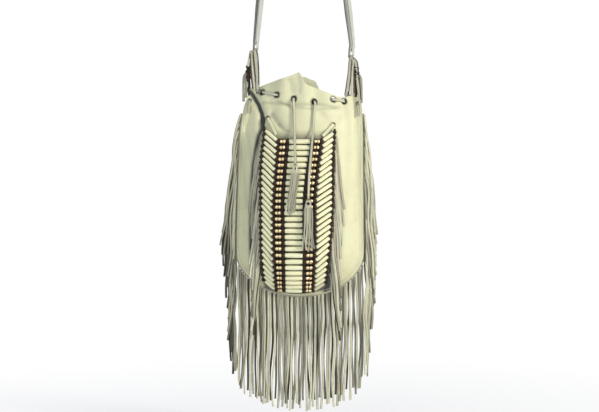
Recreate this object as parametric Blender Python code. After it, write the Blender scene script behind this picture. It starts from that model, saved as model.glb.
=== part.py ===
"""Leather drawstring shoulder bag with a bone breastplate panel, seam fringe and strap.

Metres, Z up, the front faces -Y. The origin is the underside of the strap's top,
where the bag hangs. Lengths named here are in millimetres and become metres in mm().
"""

import math

import bmesh
import bpy
import numpy as np

# Leather body
PANEL_THICK = 1.8
SEAM_MID = 1.9
EAR_Z, CORNER_Z, BOTTOM_Z = -508.5, -765.4, -838.2
CORNER_DEPTH = CORNER_Z - BOTTOM_Z
MIDDLE_X = ((-838, -0.8), (-688, -0.8), (-587, 1.0), (-533, 3.4), (-508, 4.5))
HALF_WIDTH = ((-838, 100.0), (-765, 100.0), (-688, 98.5), (-587, 95.5), (-548, 92.3), (-533, 88.7),
              (-517, 83.0), (-508, 78.5))
FRONT_SWELL = ((-838, 41.0), (-765, 43.5), (-700, 42.5), (-640, 37.5), (-580, 29.0), (-545, 23.0),
               (-533, 22.5), (-515, 25.0), (-493, 27.0))
BACK_SWELL = ((-838, 27.0), (-765, 29.0), (-640, 27.0), (-580, 22.0), (-533, 16.0), (-493, 18.0))
FLAT_EDGE = ((-838, 0.905), (-600, 0.91), (-545, 0.88), (-508, 0.84))
LEAN_PER_MM, LEAN_FROM = 0.09, -470.0
GATHER_DEEP, GATHER_WAVE, GATHER_FROM, GATHER_TO = 2.0, 34.0, -583.0, -530.0
FRONT_RIM = ((-75, -509), (-65.6, -513.2), (-50.7, -507.9), (-27, -500.4), (-6.2, -493.8), (-2.5, -493),
             (7.1, -509.4), (23.2, -516.1), (38.3, -522.8), (57.4, -528.7), (70, -525), (83, -508.5))
BACK_RIM = ((-75, -509), (-60, -516), (-30, -508), (-6, -498), (4, -494.5), (14, -498.5), (23.2, -502.7),
            (31, -520), (55, -531), (70, -526), (83, -508.5))
# Folds in the front leather: depth, width and the line of each
FOLDS = (
    (6.0, 6.5, ((-77, -522), (-65.6, -540.6), (-60.5, -554), (-59, -575), (-64, -600), (-68, -660))),
    (3.5, 8.0, ((-68, -660), (-69, -720), (-66, -790))),
    (1.8, 4.5, ((-58, -537), (-20, -541), (28, -541), (58, -545))),
    (2.6, 6.5, ((-44, -556), (-36, -569), (-27, -580))),
    (2.2, 7.0, ((30, -556), (44, -566), (58, -561))),
    (3.0, 9.0, ((66, -528), (72, -560), (73, -610), (70, -680))),
    (3.0, 8.0, ((60, -700), (56, -760), (44, -806))),
)
PANEL_STEPS = (0, 0.03, 0.065, 0.095, 0.125, 0.165, 0.215, 0.28, 0.36, 0.45, 0.55, 0.65, 0.74, 0.82,
               0.89, 0.94, 0.975, 1)
FRONT_EDGES = (0.95, 0.985, 1.0)
FRONT_COLUMNS, BACK_COLUMNS = 22, 12

# Holes
LACE_HOLE = 4.2
FRONT_HOLES = ((-59.7, -521.2), (-37.2, -525.9), (-10.9, -532.1), (20.2, -536.7), (49.6, -532.7),
               (66.6, -535.0))
BACK_HOLES = ((-57.0, -524.0), (-36.0, -528.0), (-12.0, -530.0), (14.0, -531.0), (40.0, -534.0),
              (64.0, -536.5))
EAR_HOLE = 2.7
EARS_LEFT, EARS_RIGHT = ((-66.5, -519.5), (-79.5, -533.5)), ((69.8, -522.2), (88.2, -538.0))
PLATE_TIE_HOLE = 2.3
PLATE_TIES_FROM, PLATE_TIES_TO = ((-50.7, -561.1), (49.9, -571.3)), ((-39.0, -584.0), (37.5, -583.0))
CUT_FRONT, CUT_BACK, CUT_CLEAR = -60.0, 60.0, 0.1

# Strap and the two ties that carry the bag
LIP_LEFT, LIP_RIGHT = (-70.5, -455.4), (77.5, -466.2)
STRAP_WIDE, STRAP_THICK = 12.0, 3.0
ARCH_RADIUS, ARCH_LOW = 22.0, -34.0
TWIST_TOP, TWIST_LOW = -60.0, -300.0
SLIT_LONG, SLIT_WIDE, LIP_RADIUS = 14.0, 4.8, 1.5
THONG_WIDE, THONG_THICK = 3.6, 1.6
KNOT_LEFT, KNOT_RIGHT, KNOT_Y = (-81.4, -489.5), (86.0, -492.0), 2.0
KNOT_WIDE, KNOT_HIGH, KNOT_DEEP = 8.6, 12.0, 7.0
TAILS = ((2.2, 26.0), (6.4, 31.0))

# Breastplate rows and columns
ROWS = 27
ROW_TOP, ROW_BOTTOM = -599.5, -824.0
PLATE_HIGH = 7.0
BONE_RADII = {"left": 2.85, "centre": 3.55, "right": 3.25}
BEAD_RADIUS, BEAD_WAIST, BEAD_GAP = 2.4, 0.95, 0.35
BRASS_RADIUS = 2.1
RISE_LEFT, RISE_RIGHT = 19.4, 15.5
COLUMN_X = {
    "outer_left": ((-820, -57.5), (-780, -60.5), (-700, -60.5), (-630, -60.0), (-565, -57.0)),
    "left": ((-830, -39.5), (-750, -42.5), (-688, -42.0), (-600, -36.0), (-565, -34.0)),
    "inner_left": ((-830, -27.5), (-750, -28.0), (-688, -28.5), (-600, -22.0), (-565, -20.0)),
    "inner_right": ((-830, 4.0), (-750, 5.0), (-688, 5.0), (-640, 10.0), (-600, 16.0), (-565, 17.0)),
    "right": ((-830, 18.0), (-750, 19.5), (-688, 20.0), (-640, 25.0), (-600, 31.0), (-565, 32.0)),
    "outer_right": ((-820, 37.5), (-757, 43.0), (-700, 47.0), (-626, 49.5), (-565, 54.0)),
}
BONE_NECK, BRASS_NECK, NECK_BACK, NECK_THICK = 5.0, 4.0, 0.55, 0.6
# A tube's rings from its lower to its upper side: height, depth and set-back, in radii
BONE_PROFILE = ((-1.0, 0.3, 0.1), (-0.5, 0.87, 0.0), (0.5, 0.87, 0.0), (1.0, 0.3, 0.1))
BRASS_PROFILE = ((-0.9, 0.6, 0.0), (0.0, 1.0, 0.0), (0.9, 0.6, 0.0))
BOTTOM_THONG = ((-53.0, -816.5), (-40.0, -826.8), (-20.0, -832.8), (-4.0, -833.6), (8.0, -832.8),
                (18.0, -828.6))
BOTTOM_THONG_HIGH, BOTTOM_THONG_WIDE, BOTTOM_THONG_THICK = 3.0, 2.2, 1.1

# Seam fringe
HEADER_THICK, HEADER_IN, HEADER_OUT = 1.4, 6.0, 2.6
STRAND_THICK = 1.4
SIDE_TOP, SIDE_LOW, SIDE_STRANDS = -553.0, -778.0, 16
SIDE_WIDE, SIDE_LONG, SIDE_DRIFT, SIDE_OUT, LAYER_APART = 3.4, 184.0, 0.090, 3.6, 4.6
BOTTOM_WIDE, BOTTOM_LONG, BOTTOM_PITCH, BOTTOM_FROM, BOTTOM_TO = 4.6, 168.0, 5.75, -93.0, 91.2
PLATE_STRANDS, PLATE_STRAND_WIDE, PLATE_STRAND_LONG = 10, 3.2, 112.0
PLATE_HEADER_HIGHS, PLATE_HEADER_IN, PLATE_HEADER_OUT, PLATE_DRIFTS = (2.35, 1.8), 1.2, 4.2, (0.17, 0.13)

# Drawstring
LACE_WIDE, LACE_THICK, LACE_FRONT, LACE_BACK = 4.2, 1.6, 3.3, 3.2
END_DIAMETER, END_STEP = 4.2, 9.0
# The ends hang from the third and fourth holes, over the breastplate's top, to behind the tassels
LEFT_END = ((-11.2, -19.4, -532.4), (-11.5, -20.9, -534.6), (-11.1, -19.6, -542.8),
            (-10.7, -20.5, -551.3), (-10.6, -21.9, -559.6), (-10.4, -23.2, -568.0),
            (-10.1, -24.7, -576.5), (-9.9, -27.8, -584.4), (-9.7, -31.6, -591.9),
            (-9.5, -34.8, -599.4), (-9.3, -35.8, -607.9), (-9.1, -36.2, -616.4),
            (-8.9, -36.6, -624.9), (-8.8, -36.9, -633.4), (-8.8, -37.1, -641.9))
RIGHT_END = ((20.9, -17.3, -537.4), (21.7, -19.2, -539.8), (20.4, -19.9, -550.0),
             (19.6, -21.4, -560.8), (19.1, -23.0, -571.3), (18.4, -25.3, -581.4),
             (17.8, -30.3, -590.2), (17.0, -34.4, -599.1), (16.1, -35.1, -609.7),
             (15.2, -35.7, -620.3), (14.3, -36.2, -630.9), (13.4, -36.6, -641.5),
             (12.6, -36.8, -652.1), (12.0, -36.9, -662.8), (11.5, -36.9, -673.4),
             (11.1, -36.8, -684.1), (11.0, -36.5, -694.7))
TASSEL_WIDE, TASSEL_HEAD, TASSEL_THICK, TASSEL_GAP = 11.0, 12.0, 2.4, 0.35
TASSEL_HOLE, TASSEL_HOLE_DOWN = 1.9, 4.2
TASSEL_STRANDS, TASSEL_LEFT_LONG, TASSEL_RIGHT_LONG = 5, 58.0, 62.0
TASSEL_LEFT, TASSEL_RIGHT = (-8.8, -636.5), (11.0, -689.3)


def mm(point):
    return tuple(0.001 * float(value) for value in point)


def spline(points, at):
    """The value at a height, on a smooth curve through (height, value) points."""
    places = [p[0] for p in points]
    values = [p[1] for p in points]
    last = len(points) - 1
    if at <= places[0]:
        return values[0]
    if at >= places[last]:
        return values[last]
    k = max(i for i in range(last) if places[i] <= at)
    slopes = []
    for i in (k, k + 1):
        low, high = max(i - 1, 0), min(i + 1, last)
        slopes.append((values[high] - values[low]) / (places[high] - places[low]))
    span = places[k + 1] - places[k]
    t = (at - places[k]) / span
    start = (1 + 2 * t) * (1 - t) ** 2 * values[k] + t * (1 - t) ** 2 * span * slopes[0]
    return start + t * t * (3 - 2 * t) * values[k + 1] + t * t * (t - 1) * span * slopes[1]


def straight(points, at):
    return float(np.interp(at, [p[0] for p in points], [p[1] for p in points]))


def eased(value, low, high):
    t = min(max((value - low) / (high - low), 0.0), 1.0)
    return t * t * (3 - 2 * t)


def unit(vector):
    vector = np.asarray(vector, float)
    return vector / max(np.linalg.norm(vector), 1e-9)


def wobble(number, seed=0.0):
    """A fixed, irregular value from -1 to 1 for each number."""
    return math.sin(12.9898 * (number + 1) + 78.233 * (seed + 0.37)) * math.cos(3.17 * number + seed)


def from_line(x, z, line):
    """How far a point is from a broken line."""
    best = 1e9
    for (ax, az), (bx, bz) in zip(line, line[1:]):
        dx, dz = bx - ax, bz - az
        t = min(max(((x - ax) * dx + (z - az) * dz) / (dx * dx + dz * dz), 0.0), 1.0)
        best = min(best, math.hypot(x - ax - t * dx, z - az - t * dz))
    return best


def panel_mid(side, x, z):
    """The middle of the leather at a place; side is -1 for the front and 1 for the back."""
    low = max(CORNER_Z - z, 0.0) / CORNER_DEPTH
    across = (x - spline(MIDDLE_X, z)) / spline(HALF_WIDTH, z)
    inward = min(math.hypot(across, low) / spline(FLAT_EDGE, z), 1.0)
    full = 1 - inward * inward
    swell = full * spline(FRONT_SWELL if side < 0 else BACK_SWELL, z)
    waves = math.cos(2 * math.pi * (x + 6 * side) / GATHER_WAVE) * eased(z, GATHER_FROM, GATHER_TO)
    swell += GATHER_DEEP * (1.0 if side < 0 else 0.4) * waves * min(3 * full, 1.0)
    if side < 0:
        beside_plate = eased(abs(x + 5.0), 52.0, 66.0)
        free = 1 - (1 - beside_plate) * eased(-z, 566.0, 590.0)
        for deep, wide, line in FOLDS:
            near = from_line(x, z, line) / wide
            swell -= free * deep * math.exp(-near * near) * min(2.5 * full, 1.0)
    return np.array([x, side * (SEAM_MID + max(swell, 0.0)), z])


def panel_out(side, x, z):
    """The outward direction of the leather at a place."""
    step = 1.5
    across = panel_mid(side, x + step, z) - panel_mid(side, x - step, z)
    up = panel_mid(side, x, z + step) - panel_mid(side, x, z - step)
    return unit(side * np.cross(up, across))


def over(x, z, high, side=-1):
    """A point so far outside the middle of the leather."""
    return panel_mid(side, x, z) + high * panel_out(side, x, z)


def lean(z):
    """How far back the bag leans at a height, which puts its weight under the ties."""
    return LEAN_PER_MM * (LEAN_FROM - min(max(z, BOTTOM_Z), LEAN_FROM))


def leaned(point):
    x, y, z = point
    return np.array([x, y + lean(z), z])


def material(name, colour, roughness, metallic=0.0):
    made = bpy.data.materials.new(name)
    made.use_nodes = True
    shader = made.node_tree.nodes["Principled BSDF"]
    shader.inputs["Base Color"].default_value = (*colour, 1)
    shader.inputs["Roughness"].default_value = roughness
    shader.inputs["Metallic"].default_value = metallic
    made.diffuse_color = (*colour, 1)
    return made


def solid(name, points, faces, look, smooth=False, tool=False):
    """An object from points in millimetres, its faces turned outwards."""
    mesh = bpy.data.meshes.new(name)
    mesh.from_pydata([mm(leaned(p)) for p in points], [], faces)
    work = bmesh.new()
    work.from_mesh(mesh)
    bmesh.ops.triangulate(work, faces=[face for face in work.faces if len(face.verts) > 3])
    bmesh.ops.recalc_face_normals(work, faces=work.faces)
    if work.calc_volume(signed=True) < 0:
        bmesh.ops.reverse_faces(work, faces=work.faces)
    work.to_mesh(mesh)
    work.free()
    for polygon in mesh.polygons:
        polygon.use_smooth = smooth
    made = bpy.data.objects.new(name, mesh)
    bpy.context.scene.collection.objects.link(made)
    if tool:
        made.hide_render = True
        made.display_type = "WIRE"
    else:
        mesh.materials.append(look)
    return made


def boolean(target, tool, operation):
    change = target.modifiers.new(tool.name, "BOOLEAN")
    change.operation = operation
    change.solver = "EXACT"
    change.object = tool
    change.use_self = operation == "UNION"


def tube(rings):
    """Points and faces of a closed tube through rings of equal length."""
    count = len(rings[0])
    points = [p for ring in rings for p in ring]
    faces = []
    for k in range(len(rings) - 1):
        for i in range(count):
            j = (i + 1) % count
            faces.append((k * count + i, k * count + j, (k + 1) * count + j, (k + 1) * count + i))
    faces.append(tuple(range(count))[::-1])
    faces.append(tuple((len(rings) - 1) * count + i for i in range(count)))
    return points, faces


def joined(parts):
    points, faces = [], []
    for more_points, more_faces in parts:
        start = len(points)
        points += more_points
        faces += [tuple(start + i for i in face) for face in more_faces]
    return points, faces


def tangents(path):
    path = np.asarray(path, float)
    return [unit(path[min(i + 1, len(path) - 1)] - path[max(i - 1, 0)]) for i in range(len(path))]


def band(path, wide, thick, axis):
    """A flat band along a path, its width along the axis."""
    axes = axis if isinstance(axis, list) else [axis] * len(path)
    wides = wide if isinstance(wide, list) else [wide] * len(path)
    rings = []
    for point, along, side_axis, w in zip(path, tangents(path), axes, wides):
        side_axis = np.asarray(side_axis, float)
        across = unit(side_axis - side_axis.dot(along) * along) * w / 2
        deep = unit(np.cross(along, across)) * thick / 2
        point = np.asarray(point, float)
        rings.append([point - across - deep, point + across - deep, point + across + deep,
                      point - across + deep])
    return tube(rings)


def resampled(path, step):
    """Points along a smooth curve through a path, about a step apart."""
    path = [np.asarray(p, float) for p in path]
    made = [path[0]]
    for i in range(len(path) - 1):
        a, b = path[max(i - 1, 0)], path[i]
        c, d = path[i + 1], path[min(i + 2, len(path) - 1)]
        parts = max(1, round(np.linalg.norm(c - b) / step))
        for k in range(1, parts + 1):
            t = k / parts
            made.append(0.5 * (2 * b + (c - a) * t + (2 * a - 5 * b + 4 * c - d) * t * t
                               + (3 * b - a - 3 * c + d) * t ** 3))
    return made


def evenly(route, step):
    """Points at even distances along a smooth curve through a route."""
    fine = np.array(resampled(route, 0.5))
    along = np.concatenate([[0], np.cumsum(np.linalg.norm(np.diff(fine, axis=0), axis=1))])
    places = np.linspace(0, along[-1], round(along[-1] / step) + 1)
    return np.column_stack([np.interp(places, along, fine[:, k]) for k in range(3)])


def cylinder(centre, radius, y_from, y_to, sides=8):
    x, z = centre
    rings = []
    for y in (y_from, y_to):
        turns = [2 * math.pi * (i + 0.5) / sides for i in range(sides)]
        rings.append([(x + radius * math.cos(t), y, z + radius * math.sin(t)) for t in turns])
    return tube(rings)


def column_places(inside_columns):
    """Where the columns of a panel's mesh lie across it, from -1 to 1."""
    middle = [0.905 * math.sin(math.pi / 2 * k / (inside_columns / 2) * 0.86) / math.sin(math.pi / 2 * 0.86)
              for k in range(-(inside_columns // 2), inside_columns // 2 + 1)]
    return [-u for u in reversed(FRONT_EDGES)] + middle + list(FRONT_EDGES)


def panel(name, side, inside_columns, rim, steps, look):
    """One leather half of the bag: two skins a thickness apart, closed at the edges."""
    columns = column_places(inside_columns)
    grid = []
    for step in steps:
        row = []
        for u in columns:
            x_top = spline(MIDDLE_X, EAR_Z) + spline(HALF_WIDTH, EAR_Z) * u
            top = straight(rim, x_top)
            low = CORNER_Z - CORNER_DEPTH * math.sqrt(max(1 - u * u, 0.0))
            z = top + (low - top) * step
            row.append((spline(MIDDLE_X, z) + spline(HALF_WIDTH, z) * u, z))
        grid.append(row)
    wide = len(columns)
    points = [over(x, z, high, side) for high in (PANEL_THICK / 2, -PANEL_THICK / 2)
              for row in grid for x, z in row]
    skin = len(grid) * wide
    faces = []
    for i in range(len(grid) - 1):
        for j in range(wide - 1):
            a, b = i * wide + j, (i + 1) * wide + j
            faces.append((a, a + 1, b + 1, b))
            faces.append((skin + a, skin + b, skin + b + 1, skin + a + 1))
    last = (len(grid) - 1) * wide
    edge = list(range(wide)) + [i * wide + wide - 1 for i in range(1, len(grid))]
    edge += [last + j for j in range(wide - 2, -1, -1)] + [i * wide for i in range(len(grid) - 2, 0, -1)]
    for a, b in zip(edge, edge[1:] + edge[:1]):
        faces.append((a, skin + a, skin + b, b))
    return solid(name, points, faces, look, smooth=True)


def seam_line():
    """Points of the sewn outline, from the left ear round the bottom to the right ear."""
    line = []
    for z in np.linspace(EAR_Z, CORNER_Z, 40):
        line.append((spline(MIDDLE_X, z) - spline(HALF_WIDTH, z), z))
    for turn in np.linspace(math.pi, 2 * math.pi, 90)[1:-1]:
        line.append((spline(MIDDLE_X, CORNER_Z) + spline(HALF_WIDTH, CORNER_Z) * math.cos(turn),
                     CORNER_Z + CORNER_DEPTH * math.sin(turn)))
    for z in np.linspace(CORNER_Z, EAR_Z, 40):
        line.append((spline(MIDDLE_X, z) + spline(HALF_WIDTH, z), z))
    return np.array(line)


SEAM = seam_line()
SEAM_LONG = np.concatenate([[0], np.cumsum(np.linalg.norm(np.diff(SEAM, axis=0), axis=1))])


def seam_at(along):
    """The place on the seam and its outward direction, at a length along it."""
    place = np.array([np.interp(along, SEAM_LONG, SEAM[:, k]) for k in (0, 1)])
    ahead = np.array([np.interp(along + 2, SEAM_LONG, SEAM[:, k]) for k in (0, 1)])
    behind = np.array([np.interp(along - 2, SEAM_LONG, SEAM[:, k]) for k in (0, 1)])
    tangent = unit(ahead - behind)
    return place, np.array([tangent[1], -tangent[0]])


def seam_length_at(x=None, z=None, right=False):
    """The length along the seam where it reaches a height on one side, or an x on the bottom."""
    half = int(np.argmin(SEAM[:, 1]))
    if x is not None:
        keep = SEAM[:, 1] < CORNER_Z
        return float(np.interp(x, SEAM[keep, 0], SEAM_LONG[keep]))
    if right:
        return float(np.interp(z, SEAM[half:, 1], SEAM_LONG[half:]))
    return float(np.interp(-z, -SEAM[: half + 1, 1], SEAM_LONG[: half + 1]))


def comb(stations, strands):
    """A strip cut into strands: stations of four points, and rings for the strand after some of them.

    A station holds its inner front, inner back, outer back and outer front points.
    """
    points, faces, first = [], [], []
    for station in stations:
        first.append(len(points))
        points += station
    for i in range(len(stations) - 1):
        a, b = first[i], first[i + 1]
        faces += [(a, b, b + 3, a + 3), (a, a + 1, b + 1, b), (a + 1, a + 2, b + 2, b + 1)]
        rings = strands.get(i)
        if rings is None:
            faces.append((a + 2, a + 3, b + 3, b + 2))
            continue
        last = [a + 3, b + 3, b + 2, a + 2]
        for ring in rings:
            start = len(points)
            points += ring
            new = [start, start + 1, start + 2, start + 3]
            for k in range(4):
                m = (k + 1) % 4
                faces.append((last[k], last[m], new[m], new[k]))
            last = new
        faces.append(tuple(last))
    faces.append((first[0], first[0] + 3, first[0] + 2, first[0] + 1))
    faces.append(tuple(first[-1] + k for k in range(4)))
    return points, faces


def ring_of(centre, across, wide, thick):
    """A strand's section: front from one side to the other, then back."""
    centre = np.asarray(centre, float)
    across = unit(across) * wide / 2
    front = np.array([0, -thick / 2, 0])
    return [centre - across + front, centre + across + front, centre + across - front,
            centre - across - front]


def header_station(along):
    place, out = seam_at(along)
    inner = place - HEADER_IN * out
    outer = place + HEADER_OUT * out
    half = HEADER_THICK / 2
    return [(inner[0], -half, inner[1]), (inner[0], half, inner[1]),
            (outer[0], half, outer[1]), (outer[0], -half, outer[1])]


def side_edge(right, z):
    z = max(z, CORNER_Z)
    return spline(MIDDLE_X, z) + (1 if right else -1) * spline(HALF_WIDTH, z)


def side_fringe(name, right, look):
    """The strands down one side, each drifting outwards as others come in beneath it."""
    turn = 1 if right else -1
    low, high = sorted((seam_length_at(z=SIDE_TOP, right=right), seam_length_at(z=SIDE_LOW, right=right)))
    starts = np.linspace(low, high, SIDE_STRANDS + 1)
    stations, strands = [], {}
    for k in range(SIDE_STRANDS):
        middle = 0.5 * (starts[k] + starts[k + 1])
        if k == 0:
            stations.append(header_station(starts[0]))
        stations.append(header_station(middle - SIDE_WIDE / 2))
        place, out = seam_at(middle)
        root_z = place[1] + HEADER_OUT * out[1]
        layer = (k % 3) - 1
        long = SIDE_LONG + 9 * wobble(k, 2.0 + right)
        rings = []
        for down in (4.0, 10.0, 38.0, 100.0, long):
            away = HEADER_OUT + SIDE_OUT * (1 - math.exp(-down / 6.0)) + SIDE_DRIFT * max(down - 3, 0)
            z = root_z - max(down - 2.5, 0.6)
            sway = 2.2 * math.sin(z / 38.0 + right) * min(down / 40.0, 1.0)
            x = side_edge(right, z) + turn * away + sway
            y = layer * LAYER_APART * min(down / 9.0, 1.0) + 1.0 * math.sin(z / 31.0) * min(down / 60, 1)
            level = min(down / 9.0, 1.0)
            across = (level, 0.0, turn * (1 - level))
            rings.append(ring_of((x, y, z), across, SIDE_WIDE, STRAND_THICK))
        strands[len(stations) - 1] = rings
        stations.append(header_station(middle + SIDE_WIDE / 2))
        if k == SIDE_STRANDS - 1:
            stations.append(header_station(starts[-1]))
    return solid(name, *comb(stations, strands), look)


def bottom_fringe(name, look):
    count = int((BOTTOM_TO - BOTTOM_FROM) / BOTTOM_PITCH) + 1
    stations, strands = [header_station(seam_length_at(x=BOTTOM_FROM - 3.4))], {}
    for k in range(count):
        x_mid = BOTTOM_FROM + k * BOTTOM_PITCH
        edges = [seam_length_at(x=x_mid + shift * BOTTOM_WIDE / 2) for shift in (-1, 1)]
        stations.append(header_station(edges[0]))
        place, out = seam_at(0.5 * (edges[0] + edges[1]))
        start = place + HEADER_OUT * out
        long = BOTTOM_LONG + 8 * wobble(k, 5.0) + 14 * abs(x_mid / 93.0) ** 2
        layer = (k % 2) * 2 - 1
        rings = []
        for down in (7.0, 45.0, 105.0, long):
            z = start[1] - down
            sway = 1.6 * math.sin(z / 30.0) * min(down / 50, 1) + 0.9 * math.sin(z / 17.0 + 1) * down / long
            y = layer * 1.2 * min(down / 25.0, 1) + 1.5 * math.sin(z / 40.0) * min(down / 60, 1)
            rings.append(ring_of((start[0] + sway, y, z), (1, 0, 0), BOTTOM_WIDE - 0.3, STRAND_THICK))
        strands[len(stations) - 1] = rings
        stations.append(header_station(edges[1]))
    stations.append(header_station(seam_length_at(x=BOTTOM_TO + 3.4)))
    return solid(name, *comb(stations, strands), look)


def plate_heights():
    """Heights on the breastplate by the length along the leather from the first row."""
    heights = np.linspace(-560.0, -833.0, 400)
    places = np.array([panel_mid(-1, -9.0, z) for z in heights])
    along = np.concatenate([[0], np.cumsum(np.linalg.norm(np.diff(places, axis=0), axis=1))])
    along -= np.interp(-ROW_TOP, -heights, along)
    return along, heights


ALONG, HEIGHTS = plate_heights()
PLATE_LONG = float(np.interp(-ROW_BOTTOM, -HEIGHTS, ALONG))
ROW_APART = PLATE_LONG / (ROWS - 1)


def plate_z(along):
    return float(np.interp(along, ALONG, HEIGHTS))


def plate_point(column, along, high=PLATE_HIGH, shift=0.0):
    z = plate_z(along)
    return over(spline(COLUMN_X[column], z) + shift, z, high)


def rungs(rows, profile, neck):
    """A ladder of tubes lying across a column, each joined to the next by a narrow neck behind.

    A row holds its two ends and its outward and upward half sizes; the profile holds the
    rings of a tube, from its lower to its upper side, as height, depth and set-back.
    """
    rings = []
    for index, (start, end, outward, upward) in enumerate(rows):
        for high, deep, back in reversed(profile):
            centre = [p + high * upward - back * outward for p in (start, end)]
            rings.append([centre[0] - deep * outward, centre[1] - deep * outward,
                          centre[1] + deep * outward, centre[0] + deep * outward])
        if index == len(rows) - 1:
            break
        following = rows[index + 1]
        middle = sum(rows[index][:2] + following[:2]) / 4 - NECK_BACK * outward
        half = unit(end - start) * neck / 2
        deep = NECK_THICK / 2 * outward
        rings.append([middle - half - deep, middle + half - deep, middle + half + deep,
                      middle - half + deep])
    return tube(rings)


def bones(name, columns, rises, radius, look):
    rows = []
    for row in range(ROWS):
        along = row * ROW_APART
        ends = [plate_point(column, along - rise) for column, rise in zip(columns, rises)]
        toward = unit(ends[1] - ends[0])
        middle = (ends[0] + ends[1]) / 2
        outward = panel_out(-1, middle[0], middle[2])
        higher, lower = (plate_point(columns[0], along - rises[0] + step) for step in (-2, 2))
        upward = unit(higher - lower)
        slope = max(np.linalg.norm(np.cross(toward, upward)), 0.5)
        clear = (BEAD_RADIUS + BEAD_GAP + 0.1) / slope
        rows.append((ends[0] + clear * toward, ends[1] - clear * toward, radius * outward,
                     radius / slope * upward))
    return solid(name, *rungs(rows, BONE_PROFILE, BONE_NECK), look)


def bead_string(name, column, rise, look, sides=4):
    rings = []
    for half in range(2 * ROWS + 1):
        along = (half / 2 - 0.5) * ROW_APART - rise
        radius = BEAD_RADIUS if half % 2 else BEAD_WAIST
        centre = plate_point(column, along)
        ahead = unit(plate_point(column, along - 1.5) - plate_point(column, along + 1.5))
        outward = panel_out(-1, centre[0], plate_z(along))
        across = unit(np.cross(ahead, outward))
        outward = np.cross(across, ahead)
        ring = []
        for k in range(sides):
            turn = 2 * math.pi * k / sides
            ring.append(centre + radius * (math.cos(turn) * outward + math.sin(turn) * across))
        rings.append(ring)
    return solid(name, *tube(rings), look, smooth=True)


def brass_rows(name, columns, look):
    """Short brass tubes in each row, between two strings of beads."""
    rows = []
    clear = BEAD_RADIUS + BEAD_GAP
    for row in range(ROWS):
        along = row * ROW_APART
        ends = [plate_point(column, along) for column in columns]
        toward = unit(ends[1] - ends[0])
        outward = panel_out(-1, ends[0][0], ends[0][2])
        upward = unit(np.cross(outward, toward))
        outward = np.cross(toward, upward)
        rows.append((ends[0] + clear * toward, ends[1] - clear * toward, BRASS_RADIUS * outward,
                     BRASS_RADIUS * upward))
    return solid(name, *rungs(rows, BRASS_PROFILE, BRASS_NECK), look)


def plate_fringe(name, right, look):
    """Strands hung along one edge of the breastplate, drifting outwards over one another."""
    column = "outer_right" if right else "outer_left"
    rise = RISE_RIGHT if right else RISE_LEFT
    turn = 1 if right else -1
    drift = PLATE_DRIFTS[right]
    spacing = (PLATE_LONG - 6) / PLATE_STRANDS

    def station(along):
        made = []
        near, far = PLATE_HEADER_HIGHS[right], PLATE_HEADER_HIGHS[right] + HEADER_THICK
        for shift, high in ((PLATE_HEADER_IN, far), (PLATE_HEADER_IN, near), (PLATE_HEADER_OUT, near),
                            (PLATE_HEADER_OUT, far)):
            made.append(plate_point(column, along, high, turn * shift))
        return made

    stations, strands = [station(-rise)], {}
    for k in range(PLATE_STRANDS):
        middle = (k + 0.5) * spacing - rise
        stations.append(station(middle - PLATE_STRAND_WIDE / 2))
        z_start = plate_z(middle)
        layer = k % 2
        long = PLATE_STRAND_LONG + 7 * wobble(k, 8.0 + right)
        rings = []
        front = 0.0
        for down in (3.0, 8.0, 28.0, 65.0, long):
            z = z_start - max(down - 1.5, 0.5)
            edge = spline(COLUMN_X[column], max(z, -770.0))
            away = PLATE_HEADER_OUT + 2.4 * (1 - math.exp(-down / 5.0)) + drift * max(down - 2, 0)
            x = edge + turn * away
            high = PLATE_HEADER_HIGHS[right] + 0.7 + (1.2 + 2.8 * layer) * min(down / 7.0, 1.0)
            here = over(x, max(z, -800.0), high)
            front = min(front, here[1])
            level = min(down / 7.0, 1.0)
            across = (-turn * level, 0.0, level - 1)
            rings.append(ring_of((here[0], front, z), across, PLATE_STRAND_WIDE, STRAND_THICK))
        strands[len(stations) - 1] = rings
        stations.append(station(middle + PLATE_STRAND_WIDE / 2))
    stations.append(station(PLATE_LONG - 6 - rise))
    return solid(name, *comb(stations, strands), look)


def axis_along():
    return unit((LIP_RIGHT[0] - LIP_LEFT[0], 0, LIP_RIGHT[1] - LIP_LEFT[1]))


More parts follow.
